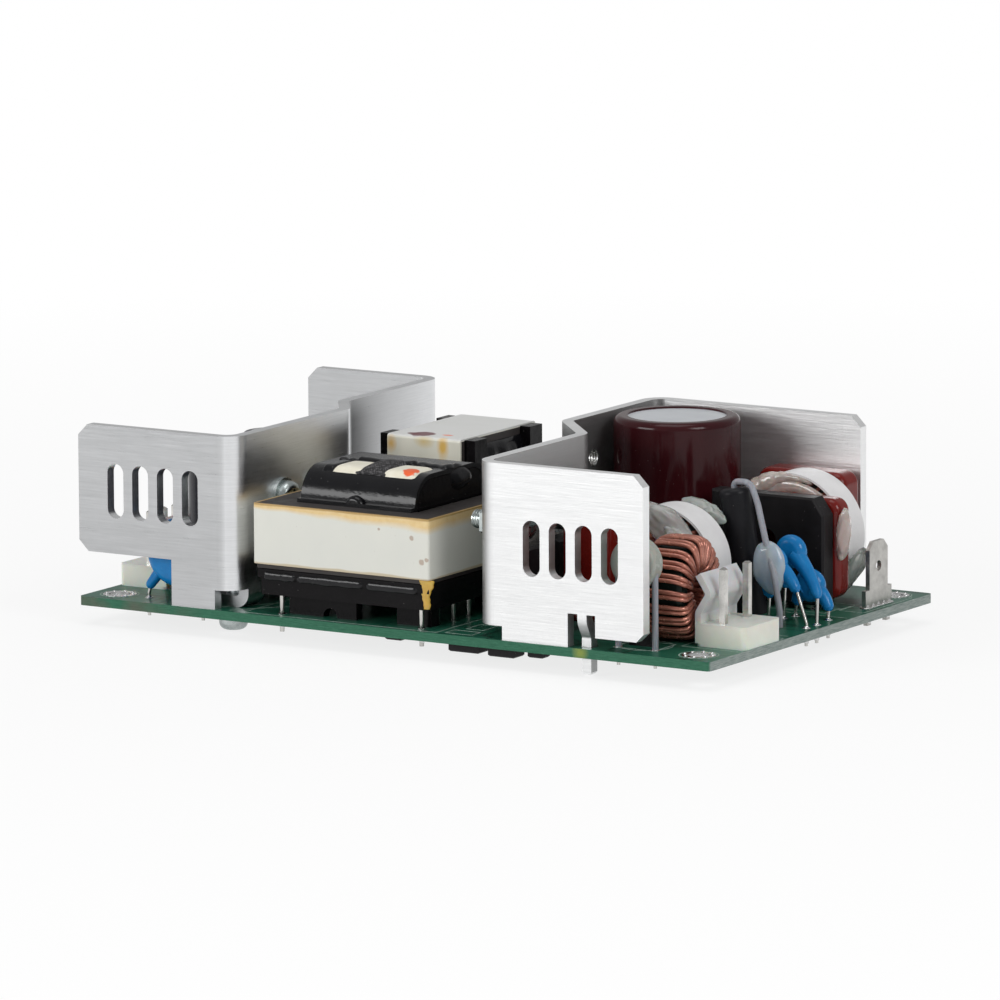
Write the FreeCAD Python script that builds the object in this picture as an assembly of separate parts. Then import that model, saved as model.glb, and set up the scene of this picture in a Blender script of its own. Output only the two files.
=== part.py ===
import FreeCAD, Part
import math
import os

V = FreeCAD.Vector

# An open frame power supply: a printed circuit board between two folded
# aluminium heatsinks, with the transformers, chokes, capacitors and headers
# standing on it. Millimetres. Every solid is drawn from the board's front left
# corner, on its top face: x to the right, y to the back, z up. When it is
# saved it is moved, so that the origin is the middle of the four mounting
# holes on the board's underside.

# Circuit board
BOARD_LENGTH = 127.0
BOARD_WIDTH = 76.2
BOARD_THICKNESS = 1.6
BOARD_CORNER_RADIUS = 0.8
MOUNT_HOLE_INSET = 5.08
MOUNT_HOLE_RADIUS = 2.0

# Wire leads and pins
LEAD_TAIL = 1.5
LEAD_RADIUS = 0.4
LEAD_HOLE_GAP = 0.12
PIN_RADIUS = 0.4

# Heatsinks, both folded from one gauge of sheet
SHEET = 2.0
BEND_INNER_RADIUS = 2.0
FLANGE_SETBACK = 0.3
HEATSINK_HEIGHT = 30.3
FLANGE_CORNER_CUT = 1.9
LOW_CORNER_CUT = 1.4
FLANGE_CLEARANCE = 8.0
WALL_CLEARANCE = 2.0
NOTCH_HEIGHT = 3.4
SLOT_WIDTH = 3.3
SLOT_HEIGHT = 9.6
SLOT_PITCH = 5.13
SLOT_COUNT = 4

# Left heatsink, which opens to the left edge
LEFT_WALL_FACE = 32.3
LEFT_STEP = 4.9
LEFT_STEP_START = 37.0
LEFT_STEP_LENGTH = 7.4
LEFT_FOOT_WIDTH = 8.9
LEFT_FIRST_SLOT = 7.66
LEFT_SLOT_CENTRE = 19.0
LUG_LENGTH = 9.0
LUG_WIDTH = 5.2
LUG_BEND_RADIUS = 0.5

# Right heatsink, which opens to the right edge. It and the parts inside it are
# set out from the right edge of the board, and those at the back from the back.
RIGHT_WALL_INSET = 46.5
RIGHT_WALL_FACE = BOARD_LENGTH - RIGHT_WALL_INSET
RIGHT_STEP = 9.6
RIGHT_STEP_START = 34.4
RIGHT_STEP_LENGTH = 10.6
RIGHT_FLANGE_INSET = 13.05
RIGHT_FLANGE_END = BOARD_LENGTH - RIGHT_FLANGE_INSET
RIGHT_FOOT_WIDTH = 13.0
RIGHT_NOTCH_HEIGHT = 2.4
RIGHT_NOTCH_WIDTH = 1.6
RIGHT_SLOT_FROM_WALL = 11.46
RIGHT_FIRST_SLOT = RIGHT_WALL_FACE + RIGHT_SLOT_FROM_WALL
RIGHT_SLOT_CENTRE = 16.2
RIGHT_SLOT_WIDTH = 3.35
TONGUE_FROM_WALL = 20.5
TONGUE_START = RIGHT_WALL_FACE + TONGUE_FROM_WALL
TONGUE_WIDTH = 1.8
TONGUE_CUT = 1.7
TONGUE_ROOT = 5.8
TONGUE_JOG = 1.5
TONGUE_REACH = 4.7
TONGUE_SLOT_GAP = 0.3
TAPPED_HOLE_RADIUS = 1.5
TAPPED_HOLE_FROM_STEP = 7.2
TAPPED_HOLE_HEIGHT = 22.8

# Screws under the board, into the left heatsink's lugs
BOARD_SCREW_RADIUS = 1.25
BOARD_SCREW_HEAD_RADIUS = 2.5
BOARD_SCREW_HEAD_HEIGHT = 2.8
BOARD_SCREW_DOME = 1.3
BOARD_SCREW_HOLE_GAP = 0.25

# Power devices, their screws, pads, washers and nuts
DEVICE_WIDTH = 10.2
DEVICE_BODY_HEIGHT = 9.1
DEVICE_BODY_DEPTH = 4.5
DEVICE_TAB_THICKNESS = 1.3
DEVICE_TAB_HEIGHT = 15.6
DEVICE_HOLE_DROP = 2.8
DEVICE_LEAD_PITCH = 2.54
DEVICE_LEAD_SIZE = 0.7
DEVICE_PITCH = 11.9
PAD_THICKNESS = 0.3
PAD_MARGIN = 0.5
PAD_SIDE_MARGIN = 0.1
WALL_SCREW_RADIUS = 1.5
WALL_SCREW_HEAD_RADIUS = 2.8
WALL_SCREW_HEAD_HEIGHT = 1.9
WASHER_RADIUS = 3.3
WASHER_THICKNESS = 0.5
NUT_FLATS = 5.5
NUT_HEIGHT = 2.4
LEFT_DEVICE_Y = 15.5
LEFT_DEVICE_HOLE_HEIGHT = 18.0
RIGHT_DEVICE_Y = 9.6
RIGHT_DEVICE_HOLE_HEIGHT = 18.6
THREAD_END = 2.4

# Main transformer: two E cores on their sides, the coil's axis along x
MAIN_GAP_TO_WALL = 3.4
MAIN_FRONT = 0.7
MAIN_CORE_BOTTOM = 8.0
MAIN_CORE_LENGTH = 34.6
MAIN_CORE_WIDTH = 34.2
MAIN_CORE_THICKNESS = 11.3
MAIN_LEG_RADIUS = 5.45
MAIN_WINDOW_RADIUS = 13.15
MAIN_WINDOW_LENGTH = 24.2
MAIN_TAPE = 0.5
MAIN_TAPE_RAISE = 0.8
MAIN_FORMER_LENGTH = 23.1
MAIN_FORMER_WALL = 1.0
MAIN_FLANGE_THICKNESS = 1.2
MAIN_FLANGE_RADIUS = 10.6
MAIN_COIL_RADIUS = 10.5
MAIN_RAIL_BOTTOM = 3.4
MAIN_PIN_COUNT = 7
MAIN_PIN_PITCH = 5.08
MAIN_PIN_INSET = 4.3
MAIN_PIN_DEPTH = 2.5
COVER_HEIGHT = 5.9
COVER_WIDTH = 24.0
COVER_WALL = 0.8
COVER_CORNER = 5.5
COVER_WINDOW_FRONT = 2.7
COVER_WINDOW_DEPTH = 7.4
COVER_FOOT = 1.2
COVER_FOOT_HEIGHT = 0.7
COVER_NUB_RADIUS = 1.9

# Rear inductor: two E cores on edge, the coil's axis along y
REAR_GAP = 3.0
REAR_LEFT = 38.9
REAR_WIDTH = 15.0
REAR_LENGTH = 24.2
REAR_TOP = 26.25
REAR_BOTTOM = 2.4
REAR_TAPE = 0.4
REAR_YOKE = 3.6
REAR_OUTER_LEG = 3.5
REAR_CENTRE_LEG = 7.0
REAR_FLANGE = 1.3
REAR_FLANGE_OVERHANG = 2.2
REAR_WING_INSET = 1.3
REAR_PIN_INSET = 2.9
REAR_FORMER_WALL = 0.8
REAR_PIN_COUNT = 4
REAR_PIN_PITCH = 5.0

# Bulk capacitor
BULK_FROM_WALL = 4.4
BULK_X = RIGHT_WALL_FACE + BULK_FROM_WALL
BULK_BACK_INSET = 15.7
BULK_Y = BOARD_WIDTH - BULK_BACK_INSET
BULK_RADIUS = 11.1
BULK_HEIGHT = 30.3
BULK_SLEEVE = 0.35
BULK_LIP = 2.4
BULK_CORNER = 1.3
BULK_DISC_THICKNESS = 0.3
BULK_FOOT = 0.4
BULK_PIN_PITCH = 10.0

# Input header at the right edge
HEADER_WIDTH = 9.8
HEADER_LENGTH = 12.1
HEADER_BASE = 3.9
HEADER_CORNER = 1.1
HEADER_EDGE_GAP = 0.1
HEADER_FRONT = 12.0
HEADER_WALL = 1.1
HEADER_WALL_HEIGHT = 12.2
HEADER_LATCH_REACH = 2.1
HEADER_LATCH_BOTTOM = 5.7
HEADER_LATCH_PEAK = 9.0
HEADER_PIN_SIZE = 1.14
HEADER_PIN_TOP = 13.5
HEADER_PIN_PITCH = 3.96
HEADER_PIN_SET = 4.4
OUTPUT_HEADER_PINS = 8
OUTPUT_HEADER_SET = 0.1

# Boost choke: a bare toroid on edge, wound with enamelled wire
BOOST_INSET = 15.7
BOOST_X = BOARD_LENGTH - BOOST_INSET
BOOST_Y = 17.0
BOOST_TURN = 8.0
BOOST_CORE_OUTER = 7.7
BOOST_CORE_INNER = 4.3
BOOST_CORE_THICKNESS = 6.6
BOOST_WIRE_RADIUS = 0.42
BOOST_WIRE_LOOSENESS = 0.15
BOOST_TURNS = 22
BOOST_SPREAD = 338.0

# Line chokes: toroids on edge with a taped rim
LINE_CORE_INNER = 4.6
LINE_TAPE = 0.4
LINE_WIRE_RADIUS = 0.4
LINE_TURNS = 16
FIRST_LINE_INSET = 25.7
FIRST_LINE_X = BOARD_LENGTH - FIRST_LINE_INSET
FIRST_LINE_FRONT = 27.3
FIRST_LINE_RADIUS = 10.1
FIRST_LINE_THICKNESS = 6.6
SECOND_LINE_INSET = 18.7
SECOND_LINE_X = BOARD_LENGTH - SECOND_LINE_INSET
SECOND_LINE_BACK_INSET = 16.8
SECOND_LINE_FRONT = BOARD_WIDTH - SECOND_LINE_BACK_INSET
SECOND_LINE_RADIUS = 11.0
SECOND_LINE_THICKNESS = 6.6

# Bridge rectifier
BRIDGE_INSET = 29.6
BRIDGE_LEFT = BOARD_LENGTH - BRIDGE_INSET
BRIDGE_BACK_INSET = 25.4
BRIDGE_FRONT = BOARD_WIDTH - BRIDGE_BACK_INSET
BRIDGE_WIDTH = 22.3
BRIDGE_HEIGHT = 18.7
BRIDGE_DEPTH = 3.4
BRIDGE_BOTTOM = 0.9
BRIDGE_CORNER_CUT = 3.0
BRIDGE_HOLE_RADIUS = 1.75
BRIDGE_LEAD_PITCH = 5.08
BRIDGE_LEAD_SIZE = 0.9

# Dipped film capacitors
FILM_CORNER = 1.6
FILM_BOTTOM = 1.4
FILM_LEAD_INSET = 2.2
FRONT_FILM_FROM_WALL = 8.9
FRONT_FILM_Y = 14.0
FRONT_FILM_LENGTH = 10.0
FRONT_FILM_DEPTH = 5.0
FRONT_FILM_TOP = 20.6
LINE_FILM_LENGTH = 17.6
MIDDLE_FILM_INSET = 24.0
MIDDLE_FILM_BACK_INSET = 21.6
MIDDLE_FILM_DEPTH = 4.4
MIDDLE_FILM_TOP = 19.0
REAR_FILM_INSET = 29.8
REAR_FILM_BACK_INSET = 9.6
REAR_FILM_DEPTH = 5.8
REAR_FILM_TOP = 21.3

# Disc capacitors
DISC_RADIUS = 2.9
DISC_THICKNESS = 2.8
DISC_LEG_RADIUS = 0.75
LARGE_DISC_RADIUS = 6.0
LARGE_DISC_THICKNESS = 4.2
LARGE_DISC_LEG_RADIUS = 0.85
LARGE_DISC_X = 17.4
LARGE_DISC_Y = 5.1
LARGE_DISC_CENTRE = 8.4
FRONT_DISC_INSET = 9.4
FRONT_DISC_Y = 37.0
FRONT_DISC_CENTRE = 10.6
MIDDLE_DISC_INSET = 8.5
MIDDLE_DISC_Y = 42.0
MIDDLE_DISC_CENTRE = 11.8
REAR_DISC_INSET = 6.6
REAR_DISC_Y = 45.2
REAR_DISC_CENTRE = 5.6

# Fuse in its shrunk sleeve, and the sleeved lead that returns from its top
FUSE_RADIUS = 2.75
FUSE_SLEEVE = 0.45
FUSE_BODY_LENGTH = 20.0
FUSE_HEIGHT = 22.3
FUSE_FOOT = 0.6
FUSE_LEAN = 3.5
FUSE_INSET = 15.0
FUSE_X = BOARD_LENGTH - FUSE_INSET
FUSE_Y = 39.8
RETURN_LEAD_RADIUS = 0.55

# Earth blade terminal
BLADE_WIDTH = 6.3
BLADE_THICKNESS = 0.8
BLADE_HEIGHT = 11.3
BLADE_SHOULDER_WIDTH = 9.0
BLADE_SHOULDER_HEIGHT = 3.0
BLADE_HOLE_RADIUS = 0.9
BLADE_HOLE_HEIGHT = 6.9
BLADE_CORNER = 1.4
BLADE_INSET = 3.3
BLADE_X = BOARD_LENGTH - BLADE_INSET
BLADE_BACK_INSET = 14.5
BLADE_Y = BOARD_WIDTH - BLADE_BACK_INSET
BLADE_LEG_WIDTH = 1.2

# Inrush limiter behind the right front flange
LIMITER_INSET = 17.2
LIMITER_X = BOARD_LENGTH - LIMITER_INSET
LIMITER_Y = 5.1
LIMITER_RADIUS = 4.4
LIMITER_THICKNESS = 3.6
LIMITER_HEIGHT = 14.6
LIMITER_LEAD_PITCH = 7.2
LIMITER_SLEEVE_RADIUS = 0.55

# Output smoothing capacitors inside the left heatsink
OUTPUT_CAPACITOR_RADIUS = 5.0
OUTPUT_CAPACITOR_HEIGHT = 25.0
OUTPUT_CAPACITOR_FOOT = 0.4
OUTPUT_CAPACITOR_GROOVE = 0.5
OUTPUT_CAPACITOR_LEAD_PITCH = 5.0
OUTPUT_CAPACITOR_COUNT = 3
OUTPUT_CAPACITOR_X = 15.8
OUTPUT_CAPACITOR_FIRST_X = 19.0
OUTPUT_CAPACITOR_FIRST_Y = 15.0
OUTPUT_CAPACITOR_PITCH = 11.2

board_cuts = []
component_leads = []


def box(x0, x1, y0, y1, z0, z1):
    """A block between two corners."""
    return Part.makeBox(x1 - x0, y1 - y0, z1 - z0, V(x0, y0, z0))


def rod(start, end, radius):
    """A round bar from one point to another."""
    return Part.makeCylinder(radius, (end - start).Length, start, end - start)


def fused(shapes):
    """One solid from several that meet."""
    whole = shapes[0].fuse(list(shapes[1:]))
    return whole.removeSplitter()


def outline_solid(points, thickness):
    """A flat outline of straight edges, given thickness along a vector."""
    wire = Part.makePolygon(list(points) + [points[0]])
    return Part.Face(wire).extrude(thickness)


def rounded_path(points, radii):
    """Straight runs through the points, with a tangent arc at each inner one."""
    edges = []
    start = points[0]
    for before, corner, after, radius in zip(points, points[1:], points[2:], radii):
        back = (before - corner).normalize()
        ahead = (after - corner).normalize()
        half = back.getAngle(ahead) / 2
        reach = radius / math.tan(half)
        inward = (back + ahead).normalize()
        arc_start = corner + back * reach
        arc_end = corner + ahead * reach
        arc_middle = corner + inward * (radius / math.sin(half) - radius)
        if (arc_start - start).Length > 1e-6:
            edges.append(Part.LineSegment(start, arc_start).toShape())
        edges.append(Part.Arc(arc_start, arc_middle, arc_end).toShape())
        start = arc_end
    edges.append(Part.LineSegment(start, points[-1]).toShape())
    return edges


def shifted_line(points, distance, normal):
    """The same corners moved sideways by a distance, across a plane's normal."""
    sides = []
    for first, second in zip(points, points[1:]):
        run = (second - first).normalize()
        sides.append(normal.cross(run))
    moved = [points[0] + sides[0] * distance]
    for corner, before, after in zip(points[1:], sides, sides[1:]):
        spread = before + after
        moved.append(corner + spread * (2 * distance / spread.Length ** 2))
    moved.append(points[-1] + sides[-1] * distance)
    return moved


def folded_strip(points, thickness, inner_radius, normal):
    """A face that follows the points with a constant thickness and round bends."""
    middle_radius = inner_radius + thickness / 2
    turns = []
    for before, corner, after in zip(points, points[1:], points[2:]):
        turn = (corner - before).cross(after - corner).dot(normal)
        turns.append(1 if turn > 0 else -1)
    edges = []
    for side in (1, -1):
        line = shifted_line(points, side * thickness / 2, normal)
        radii = [middle_radius - side * turn * thickness / 2 for turn in turns]
        edges.append(rounded_path(line, radii))
        if side == 1:
            upper = line
        else:
            lower = line
    caps = [Part.LineSegment(upper[0], lower[0]).toShape(), Part.LineSegment(upper[-1], lower[-1]).toShape()]
    wire = Part.Wire(Part.__sortEdges__(edges[0] + edges[1] + caps))
    return Part.Face(wire)


def rounded_rectangle(centre, across, up, width, height, radius):
    """A flat face with round corners, in the plane of two unit vectors."""
    half_w = across * (width / 2)
    half_h = up * (height / 2)
    corners = [centre - half_w - half_h, centre + half_w - half_h,
               centre + half_w + half_h, centre - half_w + half_h]
    first = (corners[0] + corners[1]) * 0.5
    loop = [first] + corners[1:] + [corners[0], first]
    return Part.Face(Part.Wire(rounded_path(loop, [radius] * 4)))


def swept_wire(points, radii, wire_radius):
    """A round wire along straight runs joined by arcs."""
    path = Part.Wire(rounded_path(points, radii))
    start = Part.Circle(points[0], points[1] - points[0], wire_radius).toShape()
    return path.makePipeShell([Part.Wire(start)], True, False)


def drill(x, y, radius):
    """Note a hole through the board for a lead."""
    board_cuts.append(rod(V(x, y, -2 * BOARD_THICKNESS), V(x, y, BOARD_THICKNESS), radius + LEAD_HOLE_GAP))


def straight_lead(x, y, top, radius=LEAD_RADIUS):
    """A round lead from a component's underside through the board."""
    drill(x, y, radius)
    return rod(V(x, y, -BOARD_THICKNESS - LEAD_TAIL), V(x, y, top), radius)


def square_pin(x, y, top, size):
    """A square pin through the board, in a round hole."""
    half = size / 2
    drill(x, y, half * math.sqrt(2))
    return box(x - half, x + half, y - half, y + half, -BOARD_THICKNESS - LEAD_TAIL, top)


def corner_wedge(x, z, across, up, cut, y0, y1):
    """The prism that takes a straight corner off an upright flange."""
    points = [V(x - across, y0, z - up), V(x + across * cut, y0, z - up),
              V(x + across * cut, y0, z), V(x, y0, z + up * cut), V(x - across, y0, z + up * cut)]
    return outline_solid(points, V(0, y1 - y0, 0))


FRONT_FACE = FLANGE_SETBACK
BACK_FACE = BOARD_WIDTH - FLANGE_SETBACK
BEND_REACH = BEND_INNER_RADIUS + SHEET
FRONT_MIDDLE = FRONT_FACE + SHEET / 2
BACK_MIDDLE = BACK_FACE - SHEET / 2


def slot_row(first_x, height, width):
    """A row of upright slots with round ends, through a front flange."""
    slots = []
    for number in range(SLOT_COUNT):
        centre = V(first_x + number * SLOT_PITCH, FRONT_FACE - 1, height)
        face = rounded_rectangle(centre, V(1, 0, 0), V(0, 0, 1), width, SLOT_HEIGHT, width / 2 - 0.001)
        slots.append(face.extrude(V(0, SHEET + 2, 0)))
    return slots


def lug(wall_face, y0):
    """A foot turned inwards from the bottom of the left heatsink's wall."""
    middle = wall_face - SHEET / 2
    points = [V(middle, y0, SHEET + LUG_BEND_RADIUS + 1), V(middle, y0, SHEET / 2),
              V(wall_face - LUG_LENGTH, y0, SHEET / 2)]
    return folded_strip(points, SHEET, LUG_BEND_RADIUS, V(0, -1, 0)).extrude(V(0, LUG_WIDTH, 0))


def lug_screw_places():
    """The two lug screws: plan positions and the lugs' front edges."""
    front_lug = FRONT_FACE + BEND_REACH
    back_lug = BACK_FACE - BEND_REACH - LUG_WIDTH
    front_x = LEFT_WALL_FACE - LUG_LENGTH / 2 - 0.3
    back_x = front_x - LEFT_STEP
    return [(front_x, front_lug + LUG_WIDTH / 2), (back_x, back_lug + LUG_WIDTH / 2)]


def left_heatsink():
    """Sheet folded to a C in plan, stepped in its wall, open to the left."""
    wall = LEFT_WALL_FACE - SHEET / 2
    back_wall = wall - LEFT_STEP
    step_end = LEFT_STEP_START + LEFT_STEP_LENGTH
    plan = [V(0, FRONT_MIDDLE, 0), V(wall, FRONT_MIDDLE, 0), V(wall, LEFT_STEP_START, 0),
            V(back_wall, step_end, 0), V(back_wall, BACK_MIDDLE, 0), V(0, BACK_MIDDLE, 0)]
    sheet = folded_strip(plan, SHEET, BEND_INNER_RADIUS, V(0, 0, 1)).extrude(V(0, 0, HEATSINK_HEIGHT))
    cuts = []
    ends = ((LEFT_WALL_FACE, FRONT_FACE - 1, FRONT_FACE + BEND_REACH),
            (LEFT_WALL_FACE - LEFT_STEP, BACK_FACE - BEND_REACH, BACK_FACE + 1))
    for face, y0, y1 in ends:
        foot_right = face - BEND_REACH - 0.3
        cuts.append(box(-1, foot_right - LEFT_FOOT_WIDTH, y0, y1, -1, FLANGE_CLEARANCE))
        cuts.append(box(foot_right, face + 1, y0, y1, -1, NOTCH_HEIGHT))
        cuts.append(corner_wedge(0, HEATSINK_HEIGHT, 1, -1, FLANGE_CORNER_CUT, y0, y1))
        cuts.append(corner_wedge(0, FLANGE_CLEARANCE, 1, 1, FLANGE_CORNER_CUT, y0, y1))
    front_lug = FRONT_FACE + BEND_REACH
    back_lug = BACK_FACE - BEND_REACH - LUG_WIDTH
    lug_top = SHEET + LUG_BEND_RADIUS
    cuts.append(box(back_wall - 2, LEFT_WALL_FACE + 1, front_lug + LUG_WIDTH, back_lug, -1, WALL_CLEARANCE))
    cuts.append(box(back_wall - 2, LEFT_WALL_FACE + 1, front_lug, front_lug + LUG_WIDTH, -1, lug_top))
    cuts.append(box(back_wall - 2, LEFT_WALL_FACE + 1, back_lug, back_lug + LUG_WIDTH, -1, lug_top))
    cuts += slot_row(LEFT_FIRST_SLOT, LEFT_SLOT_CENTRE, SLOT_WIDTH)
    for y in device_places(LEFT_DEVICE_Y):
        start = V(wall - SHEET, y, LEFT_DEVICE_HOLE_HEIGHT)
        cuts.append(rod(start, start + V(2 * SHEET, 0, 0), WALL_SCREW_RADIUS))
    lugs = [lug(LEFT_WALL_FACE, front_lug), lug(LEFT_WALL_FACE - LEFT_STEP, back_lug)]
    body = fused([sheet.cut(cuts)] + lugs)
    for x, y in lug_screw_places():
        body = body.cut(rod(V(x, y, -1), V(x, y, SHEET + 1), BOARD_SCREW_RADIUS))
    return body


def tongue(y_outer, inward):
    """A narrow tongue that joggles inwards and drops through the board."""
    jogged = y_outer + inward * TONGUE_JOG
    points = [V(TONGUE_START, y_outer, TONGUE_ROOT + 1), V(TONGUE_START, y_outer, TONGUE_ROOT - 1.2),
              V(TONGUE_START, jogged, TONGUE_ROOT - 3.9), V(TONGUE_START, jogged, -TONGUE_REACH)]
    strip = folded_strip(points, SHEET, 0.6, V(1, 0, 0)).extrude(V(TONGUE_WIDTH, 0, 0))
    tip_cuts = []
    for x, across in ((TONGUE_START, 1), (TONGUE_START + TONGUE_WIDTH, -1)):
        tip_cuts.append(corner_wedge(x, -TONGUE_REACH, across, 1, 0.4, jogged - SHEET, jogged + SHEET))
    gap = TONGUE_SLOT_GAP
    board_cuts.append(box(TONGUE_START - gap, TONGUE_START + TONGUE_WIDTH + gap,
                          jogged - SHEET / 2 - gap, jogged + SHEET / 2 + gap,
                          -2 * BOARD_THICKNESS, BOARD_THICKNESS))
    return strip.cut(tip_cuts)


def right_heatsink():
    """Sheet folded to a C in plan, stepped in its wall, open to the right."""
    wall = RIGHT_WALL_FACE + SHEET / 2
    back_wall = wall - RIGHT_STEP
    plan = [V(RIGHT_FLANGE_END, FRONT_MIDDLE, 0), V(wall, FRONT_MIDDLE, 0), V(wall, RIGHT_STEP_START, 0),
            V(back_wall, RIGHT_STEP_START + RIGHT_STEP_LENGTH, 0), V(back_wall, BACK_MIDDLE, 0),
            V(RIGHT_FLANGE_END, BACK_MIDDLE, 0)]
    sheet = folded_strip(plan, SHEET, BEND_INNER_RADIUS, V(0, 0, 1)).extrude(V(0, 0, HEATSINK_HEIGHT))
    cuts = []
    foot_left = RIGHT_WALL_FACE + BEND_REACH + RIGHT_NOTCH_WIDTH
    foot_right = foot_left + RIGHT_FOOT_WIDTH
    tongue_end = TONGUE_START + TONGUE_WIDTH
    ends = ((RIGHT_WALL_FACE, FRONT_FACE - 1, FRONT_FACE + BEND_REACH),
            (RIGHT_WALL_FACE - RIGHT_STEP, BACK_FACE - BEND_REACH, BACK_FACE + 1))
    for face, y0, y1 in ends:
        cuts.append(box(face - 1, foot_left, y0, y1, -1, RIGHT_NOTCH_HEIGHT))
        cuts.append(box(foot_right, TONGUE_START, y0, y1, -1, TONGUE_ROOT))
        cuts.append(box(TONGUE_START - 0.01, tongue_end + 0.01, y0, y1, -1, TONGUE_ROOT))
        cuts.append(box(tongue_end, tongue_end + TONGUE_CUT, y0, y1, -1, TONGUE_ROOT))
        cuts.append(box(tongue_end, RIGHT_FLANGE_END + 1, y0, y1, -1, WALL_CLEARANCE))
        cuts.append(corner_wedge(RIGHT_FLANGE_END, HEATSINK_HEIGHT, -1, -1, FLANGE_CORNER_CUT, y0, y1))
        cuts.append(corner_wedge(RIGHT_FLANGE_END, WALL_CLEARANCE, -1, 1, LOW_CORNER_CUT, y0, y1))
    cuts.append(box(back_wall - 2, wall + 2, FRONT_FACE + BEND_REACH - 0.01, BACK_FACE - BEND_REACH + 0.01,
                    -1, WALL_CLEARANCE))
    cuts += slot_row(RIGHT_FIRST_SLOT, RIGHT_SLOT_CENTRE, RIGHT_SLOT_WIDTH)
    for y in device_places(RIGHT_DEVICE_Y):
        start = V(wall - SHEET, y, RIGHT_DEVICE_HOLE_HEIGHT)
        cuts.append(rod(start, start + V(2 * SHEET, 0, 0), WALL_SCREW_RADIUS))
    tapped_y = RIGHT_STEP_START + RIGHT_STEP_LENGTH + TAPPED_HOLE_FROM_STEP
    start = V(back_wall - SHEET, tapped_y, TAPPED_HOLE_HEIGHT)
    cuts.append(rod(start, start + V(2 * SHEET, 0, 0), TAPPED_HOLE_RADIUS))
    return fused([sheet.cut(cuts), tongue(FRONT_MIDDLE, 1), tongue(BACK_MIDDLE, -1)])


def board_screws():
    """Pan head screws from below the board into the lugs."""
    screws = []
    for x, y in lug_screw_places():
        seat = -BOARD_THICKNESS
        head = rod(V(x, y, seat), V(x, y, seat - BOARD_SCREW_HEAD_HEIGHT), BOARD_SCREW_HEAD_RADIUS)
        low = seat - BOARD_SCREW_HEAD_HEIGHT
        rim = [e for e in head.Edges if e.Closed and abs(e.BoundBox.ZMin - low) < 1e-6]
        head = head.makeFillet(BOARD_SCREW_DOME, rim)
        recess = box(x - 1.2, x + 1.2, y - 0.3, y + 0.3, low - 1, low + 0.9)
        cross = recess.copy()
        cross.rotate(V(x, y, 0), V(0, 0, 1), 90)
        shank = rod(V(x, y, seat), V(x, y, SHEET + 0.6), BOARD_SCREW_RADIUS)
        screws.append(fused([head, shank]).cut([recess, cross]))
        board_cuts.append(rod(V(x, y, -2 * BOARD_THICKNESS), V(x, y, BOARD_THICKNESS),
                              BOARD_SCREW_RADIUS + BOARD_SCREW_HOLE_GAP))
    return screws


def device_places(first_y):
    """The y of the two power devices on one wall."""
    return [first_y, first_y + DEVICE_PITCH]


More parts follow.
